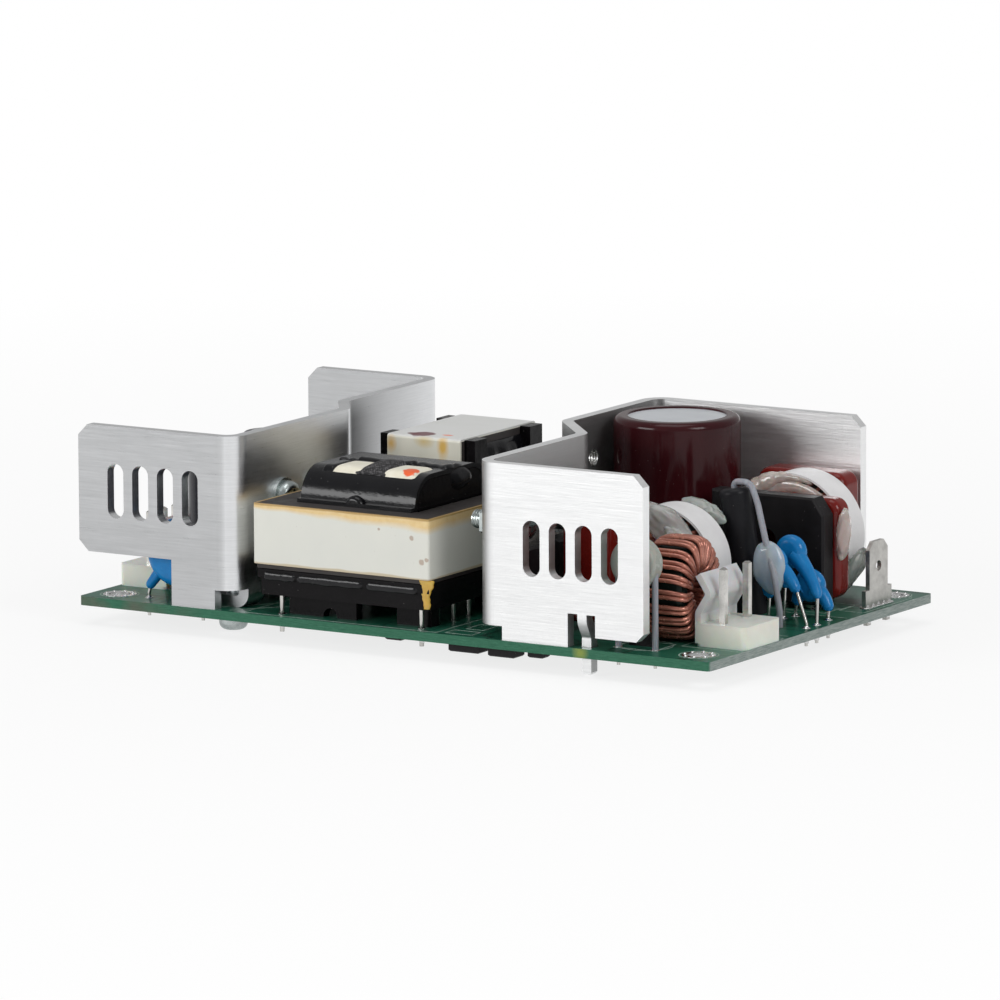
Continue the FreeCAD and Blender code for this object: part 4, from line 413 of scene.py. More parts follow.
def sheet_finish(name, dark, bright, streaks, low_rough, high_rough, relief, metallic, painted_shades):
    """Bare metal whose tone, roughness and height follow the rolled grain, with painted light and shade by
    place in its colour.
    """
    material, tree, shader = finish(name, Metallic=metallic)
    place = object_place(tree)
    streak = place_group(tree, "rolled grain", Place=place, Streaks=streaks)["Streak"]
    tone = place_group(tree, "cloudy tone", Place=place, Scale=70.0)["Tone"]
    share = math_node(tree, "ADD", times(tree, streak, 0.65), times(tree, tone, 0.35))
    metal = mix_colour(tree, share, dark, bright)
    # The grain's colour is darkened by painted light and shade that depend on place.
    painted_shade = painted_light_by_place(tree, place, *painted_shades)
    tree.links.new(mix_colour(tree, painted_shade, (0.0, 0.0, 0.0), metal), shader.inputs["Base Color"])
    tree.links.new(between(tree, streak, 0.0, 1.0, low_rough, high_rough), shader.inputs["Roughness"])
    raise_surface(tree, shader, streak, relief, 0.6)
    return material


# The left sheet's darker metal and each sheet's four painted shades (front flange, walls, rear flange,
# behind the step) stand in for light.
left_sheet = sheet_finish("left_sheet", (0.72, 0.73, 0.74), (0.93, 0.94, 0.955), 4200.0, 0.26, 0.38,
                          0.000008, 1.0, (0.56, 1.0, 0.56, 0.42))
right_sheet = sheet_finish("right_sheet", (0.88, 0.885, 0.89), (0.98, 0.985, 0.985), 3300.0, 0.30, 0.46,
                           0.00002, 0.87, (0.83, 0.55, 1.0, 0.8))
dress(left_sheet, "left_heatsink")
dress(right_sheet, "right_heatsink")

# %% [markdown]
# ## Plated screws, pins and blades
#
# Zinc plating is smooth with a faint blue cast, tin is whiter and softer. Both
# are metals with cloudy roughness, because handling leaves dull patches on them.
# A picture of metal would bring its own lights and seams along, so noise makes
# the patches instead.

# %% Plated and tinned metal
def plated_finish(name, dark, bright, low_rough, high_rough, scale):
    """Metal whose tone and gloss drift slowly over the piece."""
    material, tree, shader = finish(name, Metallic=1.0, Roughness=0.3)
    place = object_place(tree)
    tone = place_group(tree, "cloudy tone", Place=place, Scale=scale)["Tone"]
    grain = place_group(tree, "fine grit", Place=place, Scale=scale * 12)["Grain"]
    tree.links.new(mix_colour(tree, tone, dark, bright), shader.inputs["Base Color"])
    tree.links.new(between(tree, tone, 0.0, 1.0, low_rough, high_rough), shader.inputs["Roughness"])
    raise_surface(tree, shader, grain, 0.000004, 0.4)
    return material


zinc = plated_finish("zinc_plate", (0.33, 0.38, 0.38), (0.60, 0.64, 0.63), 0.2, 0.36, 500.0)
tin = plated_finish("bright_tin", (0.46, 0.45, 0.43), (0.72, 0.71, 0.68), 0.10, 0.20, 400.0)
dull_tin = plated_finish("dull_tin", (0.42, 0.41, 0.39), (0.66, 0.65, 0.62), 0.32, 0.5, 600.0)
solder_metal = plated_finish("solder", (0.62, 0.62, 0.62), (0.90, 0.90, 0.90), 0.14, 0.3, 900.0)
dress(zinc, "board_screws", "device_screws", "device_nuts", "device_washers")
dress(tin, "header_pins", "main_transformer_pins", "rear_inductor_pins", "component_leads")
dress(dull_tin, "earth_blade_terminal", "device_lead_frames")

# %% [markdown]
# ## Dark mouldings
#
# The coil formers and the cover are glossy black, the semiconductors matt
# black with a sandy skin, the ferrite a dark grey with ground faces. They share
# one recipe, with their own colour, gloss and grain. None is pure black, because
# real plastic always gives back a little light.

# %% Black plastics, epoxy and ferrite
def moulded_finish(name, colour, rough, grit_scale, depth, dust=0.0, shine=0.25):
    """A dark solid with a grainy skin, cloudy gloss and a little dust."""
    material, tree, shader = finish(name, Roughness=rough, Specular_IOR_Level=shine)
    place = object_place(tree)
    grit = place_group(tree, "fine grit", Place=place, Scale=grit_scale)
    tone = place_group(tree, "cloudy tone", Place=place, Scale=260.0)["Tone"]
    lighter = tuple(1.6 * c + 0.001 for c in colour)
    base = mix_colour(tree, times(tree, tone, 0.6), colour, lighter)
    dusty = mix_colour(tree, times(tree, grit["Dust"], dust), base, (0.35, 0.34, 0.33))
    tree.links.new(dusty, shader.inputs["Base Color"])
    tree.links.new(between(tree, tone, 0.0, 1.0, rough * 0.8, rough * 1.3), shader.inputs["Roughness"])
    raise_surface(tree, shader, grit["Grain"], depth, 0.6)
    return material


former_black = moulded_finish("former_black", (0.004, 0.0035, 0.004), 0.2, 700.0, 0.00008, 0.25, 0.12)
cover_black = moulded_finish("cover_black", (0.004, 0.004, 0.005), 0.15, 1500.0, 0.00006, 0.25, 0.3)
epoxy_black = moulded_finish("epoxy_black", (0.010, 0.009, 0.010), 0.4, 9000.0, 0.00002, 0.3, 0.15)
sleeve_black = moulded_finish("sleeve_black", (0.010, 0.010, 0.012), 0.36, 900.0, 0.00006, 0.2, 0.15)
ferrite_grey = moulded_finish("ferrite_grey", (0.036, 0.032, 0.031), 0.5, 5000.0, 0.00002, 0.3, 0.2)
can_black = moulded_finish("can_black", (0.012, 0.012, 0.020), 0.22, 900.0, 0.00001, 0.1, 0.4)
core_paint = moulded_finish("core_paint", (0.005, 0.010, 0.008), 0.3, 2500.0, 0.00003, 0.1, 0.2)
dress(former_black, "main_transformer_bobbin", "rear_inductor_bobbin")
dress(cover_black, "main_transformer_cover")
dress(epoxy_black, "bridge_rectifier", "isolator", "surface_parts", "output_rectifier_front",
      "output_rectifier_rear", "switching_transistor_front", "switching_transistor_rear")
dress(sleeve_black, "fuse_sleeve")
dress(ferrite_grey, "main_transformer_core_left", "main_transformer_core_right",
      "rear_inductor_core_front", "rear_inductor_core_back", "first_line_choke_core",
      "second_line_choke_core")
dress(can_black, "output_capacitor_1", "output_capacitor_2", "output_capacitor_3")
dress(core_paint, "boost_choke_core")

# %% [markdown]
# ## Tape with varnish stains
#
# The transformer's cores are bound with glossy off-white tape. Varnish was
# poured over the coil, and it has crept down from the tape's upper edge as an
# amber border. On the rear inductor it is a few amber drops at the front, with
# a maroon and an orange ink mark on the top. The stains could be painted on an
# unwrapped picture. Here each one is a mask that mixes one more colour into the
# tape, so it moves when its centre is changed.

# %% Tape of the two ferrite cores
def tape_base(name, colour, yellowed):
    """Glossy tape: cloudy off-white, faint creases, a coat for the shine."""
    material, tree, shader = finish(name, Roughness=0.34, Specular_IOR_Level=0.3)
    place = object_place(tree)
    tone = place_group(tree, "cloudy tone", Place=place, Scale=55.0)["Tone"]
    grit = place_group(tree, "fine grit", Place=place, Scale=1400.0)
    base = mix_colour(tree, tone, colour, yellowed)
    crease = noise(tree, place, 120.0, 2.0)
    raise_surface(tree, shader, crease, 0.0002, 0.35)
    base = mix_colour(tree, times(tree, grit["Dust"], 0.35), base, (0.25, 0.17, 0.13))
    return tree, shader, place, base, material


print(tape_base.__doc__)

# %% [markdown]
# ## The transformer's band
#
# The amber border is deepest at the right, where most varnish ran. A darker
# line marks the very edge, a thin stain lies along the foot, and a few brown
# specks are dabs. One noisy mask could mix all that at random, but the real
# stains have their places, so each has a mask of its own.

# %% Band of the main transformer
def transformer_tape():
    """The band on the main transformer, with its amber upper border."""
    tree, shader, place, base, material = tape_base("transformer_tape", (0.64, 0.645, 0.60),
                                                    (0.68, 0.68, 0.62))
    low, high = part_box("main_transformer_tape")
    deeper = between(tree, parts_of(tree, place)["X"], low.x, high.x, 0.0014, 0.0034)
    rim = place_group(tree, "stained rim", Place=place, Height=high.z, Depth=deeper, Waves=0.5)["Mask"]
    edge = place_group(tree, "stained rim", Place=place, Height=high.z, Depth=0.0005, Waves=0.6)["Mask"]
    foot = place_group(tree, "stained rim", Place=place, Height=low.z, Depth=-0.0006)["Mask"]
    tone = place_group(tree, "cloudy tone", Place=place, Scale=900.0)["Tone"]
    amber = mix_colour(tree, tone, (0.76, 0.52, 0.17), (0.70, 0.43, 0.09))
    for mask, strength, colour in ((rim, 0.72, amber), (edge, 0.75, (0.36, 0.22, 0.07)),
                                   (foot, 0.6, (0.42, 0.30, 0.12))):
        base = mix_colour(tree, times(tree, mask, strength), base, colour)
    specks = ((67.9, 0.7, 15.9, 0.5), (69.9, 0.7, 11.9, 0.6), (70.8, 0.7, 12.3, 0.45),
              (61.3, 0.7, 16.9, 0.3))
    for x, y, z, radius in specks:
        speck = dab_mask(tree, (x, y, z), radius, Ragged=1.2)
        base = mix_colour(tree, times(tree, speck, 0.55), base, (0.28, 0.14, 0.07))
    tree.links.new(base, shader.inputs["Base Color"])
    return material


dress(transformer_tape(), "main_transformer_tape")

# %% [markdown]
# ## The inductor's band
#
# The top of this band is as white as the other one. Its upright sides are cream, with painted shade in soft
# upright folds, so a mask by height keeps the two apart. The marks are listed with their centre, radius,
# stretch, softness and colour, which is easier to change than a painted picture.

# %% Band of the rear inductor
def inductor_tape():
    """The band on the rear inductor, with drops of varnish and two ink marks."""
    tree, shader, place, base, material = tape_base("inductor_tape", (0.72, 0.725, 0.72),
                                                    (0.66, 0.665, 0.64))
    low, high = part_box("rear_inductor_tape")
    # Painted shade in the soft upright folds of the cream sides.
    folds = noise(tree, stretched(tree, place, (260.0, 1.0, 90.0)), 1.0, 1.0)
    cream_with_fold_shade = mix_colour(tree, folds, (0.60, 0.59, 0.50), (0.90, 0.88, 0.77))
    on_top = between(tree, parts_of(tree, place)["Z"], high.z - 0.0004, high.z - 0.0001)
    base = mix_colour(tree, on_top, cream_with_fold_shade, base)
    amber, maroon, orange = (0.72, 0.45, 0.12), (0.12, 0.008, 0.014), (0.85, 0.16, 0.05)
    marks = ((39.7, 38.6, 24.6, 1.7, (1.3, 1.0, 0.9), 0.8, amber),
             (46.5, 38.6, 25.4, 1.9, (0.8, 1.0, 1.4), 0.9, (0.68, 0.53, 0.24)),
             (50.3, 38.6, 24.7, 2.1, (1.5, 1.0, 0.8), 0.7, (0.75, 0.46, 0.08)),
             (44.7, 41.5, 26.3, 2.2, (0.95, 0.9, 1.0), 0.2, maroon),
             (42.9, 41.3, 26.3, 1.2, (0.9, 1.2, 1.0), 0.2, maroon),
             (49.2, 42.4, 26.3, 1.3, (1.0, 1.9, 1.0), 0.5, orange))
    for x, y, z, radius, shape, soft, colour in marks:
        mask = dab_mask(tree, (x, y, z), radius, Shape=shape, Ragged=0.3, Soft=soft)
        base = mix_colour(tree, times(tree, mask, 0.92), base, colour)
    tree.links.new(base, shader.inputs["Base Color"])
    return material


dress(inductor_tape(), "rear_inductor_tape")

# %% [markdown]
# ## Coatings and sleeves
#
# Dipped resin, shrunk sleeves and wrapped tape are all coloured skins: nearly
# one colour, a little cloudy, with shallow waves. One recipe serves them all.
# The big capacitor's sleeve is a deep maroon, the film capacitors are dipped in
# red, the discs in blue.

# %% Coloured skins
def skin_finish(name, colour, second, rough, scale, depth, shine=0.3, **plain):
    """A coloured skin: two close shades in slow clouds, with shallow waves."""
    material, tree, shader = finish(name, Roughness=rough, Specular_IOR_Level=shine, **plain)
    place = object_place(tree)
    tone = place_group(tree, "cloudy tone", Place=place, Scale=scale)["Tone"]
    grit = place_group(tree, "fine grit", Place=place, Scale=scale * 9)
    base = mix_colour(tree, tone, colour, second)
    base = mix_colour(tree, times(tree, grit["Dust"], 0.15), base, (0.5, 0.48, 0.46))
    tree.links.new(base, shader.inputs["Base Color"])
    tree.links.new(between(tree, tone, 0.0, 1.0, rough * 0.85, rough * 1.2), shader.inputs["Roughness"])
    raise_surface(tree, shader, grit["Grain"], depth, 0.5)
    return material


can_sleeve = skin_finish("can_sleeve", (0.030, 0.004, 0.006), (0.042, 0.006, 0.008), 0.13, 120.0, 0.00001,
                         0.22)
can_disc = skin_finish("can_disc", (0.50, 0.52, 0.55), (0.56, 0.58, 0.60), 0.42, 300.0, 0.00002)
can_metal = plated_finish("can_metal", (0.55, 0.55, 0.56), (0.70, 0.70, 0.71), 0.3, 0.45, 300.0)
red_resin = skin_finish("red_resin", (0.130, 0.007, 0.005), (0.175, 0.011, 0.008), 0.16, 240.0, 0.00006)
blue_resin = skin_finish("blue_resin", (0.004, 0.150, 0.40), (0.008, 0.19, 0.47), 0.18, 300.0, 0.00005)
fuse_tube = skin_finish("fuse_tube", (0.80, 0.78, 0.72), (0.72, 0.70, 0.65), 0.4, 400.0, 0.00002)
pad_grey = skin_finish("insulating_pad", (0.30, 0.34, 0.36), (0.36, 0.40, 0.42), 0.6, 800.0, 0.00002)
dark_wrap = skin_finish("dark_wrap", (0.020, 0.012, 0.012), (0.035, 0.020, 0.018), 0.4, 400.0, 0.00004)
ring_tape = skin_finish("ring_tape", (0.67, 0.665, 0.67), (0.77, 0.765, 0.77), 0.4, 150.0, 0.00004, 0.2)
limiter_coat = skin_finish("limiter_coating", (0.27, 0.29, 0.26), (0.36, 0.375, 0.34), 0.25, 150.0, 0.0001,
                           0.4, Subsurface_Weight=0.3, Subsurface_Scale=0.001)
dress(can_sleeve, "bulk_capacitor_sleeve")
dress(can_disc, "bulk_capacitor_disc")
dress(can_metal, "bulk_capacitor_can")
dress(red_resin, "front_film_capacitor", "middle_film_capacitor", "rear_film_capacitor")
dress(blue_resin, "line_disc_capacitor_front", "line_disc_capacitor_middle", "line_disc_capacitor_rear",
      "output_disc_capacitor")
dress(limiter_coat, "inrush_limiter")
dress(fuse_tube, "fuse_cartridge")
dress(pad_grey, "insulating_pads")
dress(dark_wrap, "rear_inductor_winding")
dress(ring_tape, "first_line_choke_tape", "second_line_choke_tape")

# %% [markdown]
# ## Cream tape and milky nylon
#
# Two skins carry one more colour. The main coil's cream tape has an orange dab
# of paint in its right window. The headers are nylon, which lets light in, so
# it has some subsurface scattering and transmission. It looks cream where it is
# thick, near the board, and greyer in the thin latch above. Both start from the
# recipe for skins, and one blend is laid on top of it.

# %% Coil tape and nylon
def coil_tape():
    """Cream tape with the orange dab that shows in the right window."""
    material = skin_finish("coil_tape", (0.80, 0.77, 0.66), (0.72, 0.68, 0.55), 0.4, 300.0, 0.00002)
    tree = material.node_tree
    mask = dab_mask(tree, (61.6, 10.6, 25.4), 1.5, Shape=(1.0, 0.9, 0.5), Ragged=0.9, Soft=0.15)
    recolour(tree, tree.nodes["Principled BSDF"], mask, (0.80, 0.13, 0.04))
    return material


def milky_nylon():
    """Nylon whose colour changes with its height over the board."""
    material = skin_finish("milky_nylon", (0.80, 0.82, 0.72), (0.87, 0.88, 0.80), 0.34, 200.0, 0.00002,
                           Transmission_Weight=0.15, Subsurface_Weight=0.3, Subsurface_Scale=0.002)
    tree = material.node_tree
    level = parts_of(tree, object_place(tree))["Z"]
    thin = between(tree, level, lay((0, 0, 3.4))[2], lay((0, 0, 5.0))[2])
    recolour(tree, tree.nodes["Principled BSDF"], thin, (0.66, 0.665, 0.675))
    return material


coil_cream = coil_tape()
dress(coil_cream, "main_transformer_winding")
dress(milky_nylon(), "input_header_housing", "output_header_housing")

# %% [markdown]
# ## Sleeving and copper
#
# The sleeved leads are soft lavender grey tubes with fine ribs along them. The
# chokes' wire is copper under red brown enamel: half metallic, with a thin clear
# coat, and cloudy where the enamel is thin and the copper shows. The ribs could
# be modelled, but they are finer than a pixel, so a bump is enough.

# %% Sleeved leads and enamelled wire
def sleeving_finish():
    """Pale sleeving with lengthwise ribs, made from noise squeezed across x and y."""
    material, tree, shader = finish("pale_sleeving", Roughness=0.45, Subsurface_Weight=0.2,
                                    Subsurface_Scale=0.0005)
    place = object_place(tree)
    ribs = noise(tree, stretched(tree, place, (5200.0, 5200.0, 300.0)), 1.0, 2.0)
    tree.links.new(mix_colour(tree, ribs, (0.17, 0.18, 0.21), (0.38, 0.39, 0.43)),
                   shader.inputs["Base Color"])
    raise_surface(tree, shader, ribs, 0.00005, 0.7)
    return material


def enamel_finish():
    """Red brown enamel over copper, with clouds in its colour and gloss."""
    material, tree, shader = finish("enamelled_copper", Metallic=0.5, Specular_IOR_Level=0.4,
                                    Coat_Weight=0.3, Coat_Roughness=0.12)
    place = object_place(tree)
    tone = place_group(tree, "cloudy tone", Place=place, Scale=700.0)["Tone"]
    tree.links.new(mix_colour(tree, tone, (0.37, 0.135, 0.100), (0.53, 0.215, 0.150)),
                   shader.inputs["Base Color"])
    tree.links.new(between(tree, tone, 0.0, 1.0, 0.18, 0.30), shader.inputs["Roughness"])
    return material


sleeving = sleeving_finish()
enamel = enamel_finish()
dress(sleeving, "fuse_return_lead", "inrush_limiter_sleeves")
dress(enamel, "boost_choke_winding", "first_line_choke_winding", "second_line_choke_winding")

# %% [markdown]
# ## The board
#
# A coated glass board is dark green where there is bare laminate below and a
# shade lighter where there is copper. Its cut edges show the glass: grey green
# and fibrous at the right, a brighter translucent green at the front, browned
# at its left end. One material does it all: the surface's own normal tells the
# faces and the edges apart, and cells with straight sides stand for copper. The
# short yellow glow on the front edge is light that comes through the glass.

# %% Circuit board finish
def board_finish():
    """Green mask over copper fields and tracks; fibrous laminate on the edges."""
    material, tree, shader = finish("coated_board", Specular_IOR_Level=0.2)
    place = object_place(tree)
    spot = parts_of(tree, place)
    facing = parts_of(tree, add(tree, "ShaderNodeNewGeometry").outputs["Normal"])

    far, near = (add(tree, "ShaderNodeTexVoronoi", {"Vector": place, "Scale": 105.0, "Randomness": 0.75},
                     distance="CHEBYCHEV", feature=feature).outputs["Distance"] for feature in ("F2", "F1"))
    copper = between(tree, math_node(tree, "SUBTRACT", far, near), 0.035, 0.05)
    tracks = add(tree, "ShaderNodeTexBrick", {"Vector": place, "Scale": 260.0, "Mortar Size": 0.035,
                                               "Brick Width": 1.9, "Row Height": 0.42})
    raised = math_node(tree, "MAXIMUM", copper, times(tree, tracks.outputs["Fac"], 0.5))
    tone = place_group(tree, "cloudy tone", Place=place, Scale=60.0)["Tone"]
    over_copper = mix_colour(tree, tone, (0.010, 0.085, 0.050), (0.018, 0.120, 0.076))
    top = mix_colour(tree, raised, (0.005, 0.048, 0.030), over_copper)

    fibre = noise(tree, stretched(tree, place, (500.0, 500.0, 5200.0)), 1.0, 4.0, 0.7)
    fibre = between(tree, fibre, 0.3, 0.7)
    grey_edge = mix_colour(tree, fibre, (0.16, 0.205, 0.19), (0.36, 0.40, 0.38))
    front = mix_colour(tree, fibre, (0.020, 0.105, 0.060), (0.045, 0.165, 0.100))
    burnt = times(tree, between(tree, spot["X"], lay((26, 0, 0))[0], lay((6, 0, 0))[0]),
                  between(tree, noise(tree, place, 130.0), 0.35, 0.6))
    front = mix_colour(tree, times(tree, burnt, 0.8), front, (0.13, 0.10, 0.085))
    glow = dab_mask(tree, (101.7, 0.0, -0.7), 1.8, Soft=0.8)
    front = mix_colour(tree, times(tree, glow, 0.7), front, (0.30, 0.34, 0.06))
    edge = mix_colour(tree, between(tree, facing["Y"], -0.4, -0.8), grey_edge, front)

    is_side = between(tree, math_node(tree, "ABSOLUTE", facing["Z"]), 0.75, 0.5)
    tree.links.new(mix_colour(tree, is_side, top, edge), shader.inputs["Base Color"])
    tree.links.new(between(tree, is_side, 0.0, 1.0, 0.3, 0.6), shader.inputs["Roughness"])
    height = math_node(tree, "ADD", times(tree, raised, 0.4), times(tree, fibre, is_side))
    raise_surface(tree, shader, height, 0.00006, 0.7)
    return material


dress(board_finish(), "circuit_board")

# %% [markdown]
# ## Surfaces from arrays
#
# Every new piece is a skin of quads over rings of points. A ring is one cross
# section, a tube is a stack of rings, and one call takes any number of tubes at
# once, so forty solder joints are one mesh. The points come as one array with
# the shape tubes, rings, points, 3. Curves with a bevel could do some of these
# pieces, but an array takes any section, and its formula can be read.

# %% The skin builder
def skin(name, rings, look, slot, wrap=False, smooth=True):
    """Quads between point j of ring i and its neighbours, with the two end rings closed.

    With wrap, the last ring joins the first instead, as on a hoop."""
    rings = np.asarray(rings, float)
    if rings.ndim == 3:
        rings = rings[None]
    tubes, count, around, _ = rings.shape
    steps = count if wrap else count - 1
    tube, ring, point = np.meshgrid(np.arange(tubes), np.arange(steps), np.arange(around), indexing="ij")
    beside = (point + 1) % around
    above = (ring + 1) % count
    start = tube * count
    quads = np.stack([(start + ring) * around + point, (start + ring) * around + beside,
                      (start + above) * around + beside, (start + above) * around + point], axis=-1)
    faces = quads.reshape(-1, 4).tolist()
    along = np.stack([ring, ring, ring + 1, ring + 1], axis=-1) / steps
    across = np.stack([point, point + 1, point + 1, point], axis=-1) / around
    flat = np.stack([across, along], axis=-1).reshape(-1, 2)
    if not wrap:
        first = (np.arange(tubes) * count * around)[:, None] + np.arange(around)[::-1]
        last = first[:, ::-1] + (count - 1) * around
        faces += first.tolist() + last.tolist()
        flat = np.concatenate([flat, np.zeros((2 * tubes * around, 2))])
    mesh = bpy.data.meshes.new(name)
    mesh.from_pydata(lay(rings.reshape(-1, 3)).tolist(), [], faces)
    layer = mesh.uv_layers.new(name="Surface")
    layer.data.foreach_set("uv", flat.ravel().astype(np.float32))
    work = bmesh.new()
    work.from_mesh(mesh)
    bmesh.ops.recalc_face_normals(work, faces=work.faces)
    work.to_mesh(mesh)
    work.free()
    mesh.polygons.foreach_set("use_smooth", np.full(len(mesh.polygons), smooth))
    mesh.materials.append(look)
    piece = bpy.data.objects.new(name, mesh)
    bpy.context.scene.collection.objects.link(piece)
    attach(piece, "root")
    print(name, len(mesh.polygons), "faces")
    return piece


print(skin.__doc__.splitlines()[0])

# %% [markdown]
# ## Tubes, ribbons and turned shapes
#
# Three ways to lay rings cover nearly every piece: circles along a path for
# wire and legs, four corners along a path for flat bars, and a profile turned
# about an axis for round things. A modifier on a curve could do each of them.
# As functions they give arrays, and many arrays go into one mesh.

# %% Tubes, ribbons and turned shapes
def unit(vectors):
    """Vectors scaled to length one along their last axis."""
    return vectors / np.linalg.norm(vectors, axis=-1, keepdims=True)


def tube(path, radius, side, around=10):
    """Circles about each point of a path; side is a direction never along the path."""
    path = np.asarray(path, float)
    forward = unit(np.gradient(path, axis=0))
    first = unit(np.cross(forward, np.broadcast_to(side, path.shape)))
    second = np.cross(forward, first)
    angle = np.linspace(0, 2 * np.pi, around, endpoint=False)[None, :, None]
    radius = np.broadcast_to(radius, path.shape[:1])[:, None, None]
    return path[:, None] + radius * (np.cos(angle) * first[:, None] + np.sin(angle) * second[:, None])


def ribbon(path, width, height):
    """A flat bar that follows a level path: four corners about each point, its foot at the path."""
    path = np.asarray(path, float)
    forward = unit(np.gradient(path, axis=0))
    across = unit(np.cross(forward, (0.0, 0.0, 1.0))) * width / 2
    up = np.array([0.0, 0.0, height])
    return np.stack([path - across, path + across, path + across + up, path - across + up], axis=1)


def turned(profile, centre, around=24):
    """A profile of radius and height, turned about an upright axis through a centre."""
    profile = np.asarray(profile, float)
    angle = np.linspace(0, 2 * np.pi, around, endpoint=False)
    x = profile[:, :1] * np.cos(angle)
    y = profile[:, :1] * np.sin(angle)
    z = np.repeat(profile[:, 1:], around, axis=1)
    return np.stack([x, y, z], axis=-1) + np.asarray(centre, float)


print("a turned profile of 3 points:", turned([(1, 0), (1, 1), (0.1, 1)], (0, 0, 0)).shape)

# %% [markdown]
# ## Wavy lumps
#
# Set glue and bulging film have no straight line anywhere. One recipe makes
# them all: a ball whose radius swells and shrinks in a few slow waves,
# stretched to three half sizes and leaned over. Sculpting would do too, but a
# formula with a fixed seed gives the same lump on every run.

# %% Wavy lumps
def lump(centre, sizes, seed, waves=0.16, tilt=0.0, ripple=0.0, rings=48, around=60):
    """A wavy ball: unit sphere times one plus a sum of sines in its three coordinates.

    Ripple adds a fine second set of waves, as on glue that was smeared while it set."""
    draw = np.random.default_rng(seed)
    polar = np.linspace(0.03, np.pi - 0.03, rings)[:, None]
    angle = np.linspace(0, 2 * np.pi, around, endpoint=False)[None, :]
    ball = np.stack([np.sin(polar) * np.cos(angle), np.sin(polar) * np.sin(angle),
                     np.cos(polar) + 0 * angle], axis=-1)
    swell = np.ones(ball.shape[:2])
    for step in range(5):
        direction = draw.normal(size=3)
        swell += waves / (step + 1) * np.sin(ball @ direction * (1.6 + step) + draw.uniform(0, 6.28))
    for step in range(4):
        direction = draw.normal(size=3)
        swell += ripple * np.sin(ball @ direction * (4.0 + 2 * step) + draw.uniform(0, 6.28))
    points = ball * swell[..., None] * np.asarray(sizes, float)
    lean = np.radians(tilt)
    turn = np.array([[np.cos(lean), 0, np.sin(lean)], [0, 1, 0], [-np.sin(lean), 0, np.cos(lean)]])
    return points @ turn.T + np.asarray(centre, float)


print("one lump:", lump((0, 0, 0), (1, 1, 1), 0).shape)

# %% [markdown]
# ## Wound wire
#
# A toroid's wire is one long path. Seen along the ring it goes round the core's
# section as a rounded rectangle, and all the while it travels about the ring.
# Inside the hole there is less room than outside, so the second wire of each
# pair lies on top of its neighbours there. The large choke is wound with two
# wires side by side, and the dark core shows in the gaps between the pairs. A
# curve could be drawn turn by turn, but one formula lays all the turns evenly
# and keeps them off the core.

# %% Toroid windings
def winding(centre, facing, inner, outer, half, wire, turns, spread, first, wobble, layer=None, power=0.42,
            slack=0.0, per_turn=56):
    """Path of a wound wire: a superellipse in the section, carried about the ring.

    The section is x = cos t and y = sin t, each raised to a power under one so
    that the corners fill out. The ring angle grows with t. On the inside, a wire
    of the second layer, or every other turn, steps inwards by most of its thickness."""
    t = np.arange(turns * per_turn) / per_turn
    phase = 2 * np.pi * t
    reach_in = inner - wire - slack
    reach_out = outer + wire + slack
    middle = (reach_in + reach_out) / 2
    size = (reach_out - reach_in) / 2
    level = np.sign(np.cos(phase)) * np.abs(np.cos(phase)) ** power
    height = np.sign(np.sin(phase)) * np.abs(np.sin(phase)) ** power
    second = np.floor(t + 0.5) % 2 if layer is None else layer
    odd = second * np.clip(-level, 0, 1)
    loose = wobble * np.sin(t * 2.39) * np.clip(level, 0, 1)
    radius = middle + size * level - odd * 1.4 * wire + loose
    rise = (half + wire + slack) * height * (1 + 0.03 * np.sin(t * 5.1)) + odd * 0.2 * wire
    angle = np.radians(first + spread * t / turns + 1.3 * np.sin(t * 1.7))
    side_way = np.stack([-np.sin(angle), np.cos(angle), np.zeros_like(angle)], axis=1)
    flat = np.stack([radius * np.cos(angle), radius * np.sin(angle), rise], axis=1)
    turn = np.radians(facing)
    stand = np.array([[0.0, 0.0, 1.0], [0.0, 1.0, 0.0], [-1.0, 0.0, 0.0]])
    spin = np.array([[np.cos(turn), -np.sin(turn), 0], [np.sin(turn), np.cos(turn), 0], [0, 0, 1]])
    pose = spin @ stand
    return flat @ pose.T + np.asarray(centre), side_way @ pose.T


def ring_middle(node):
    """The middle of a packed ring."""
    low, high = measured_box(node)
    return (low + high) / 2


print(winding.__doc__.splitlines()[0])

# %% [markdown]
# ## Three windings
#
# The measures are those of the packed rings and of their wire. A solid choke has a plain block where its
# wire lies, and each new winding takes the place of that block, which is hidden.

# %% The three windings
BOOST_WIRE = 0.41
LINE_WIRE = 0.38
BOOST_RING = {"facing": 8.0, "inner": 4.2, "outer": 7.95, "half": 3.35, "wire": BOOST_WIRE, "turns": 20,
              "spread": 344.0, "wobble": 0.04, "power": 0.5, "slack": 0.2}
LINE_RING = {"facing": 90.0, "inner": 4.6, "half": 2.45, "wire": LINE_WIRE, "spread": 344.0, "first": 8.0,
             "wobble": 0.03}

boost_middle = ring_middle("boost_choke_core")
boost_pair = [winding(boost_middle, first=start, layer=layer, **BOOST_RING)
              for start, layer in ((8.0, 0), (13.8, 1))]
boost_wire = skin("boost_choke_wire", np.stack([tube(path, BOOST_WIRE, side) for path, side in boost_pair]),
                  enamel, "enamelled_wire")
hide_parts("boost_choke_winding")
path, side = winding(ring_middle("first_line_choke_core"), outer=8.65, turns=30, **LINE_RING)
first_wire = skin("first_line_choke_wire", tube(path, LINE_WIRE, side, 8), enamel, "enamelled_wire")
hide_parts("first_line_choke_winding")
path, side = winding(ring_middle("second_line_choke_core"), outer=9.55, turns=34, **LINE_RING)
second_wire = skin("second_line_choke_wire", tube(path, LINE_WIRE, side, 8), enamel, "enamelled_wire")
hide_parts("second_line_choke_winding")

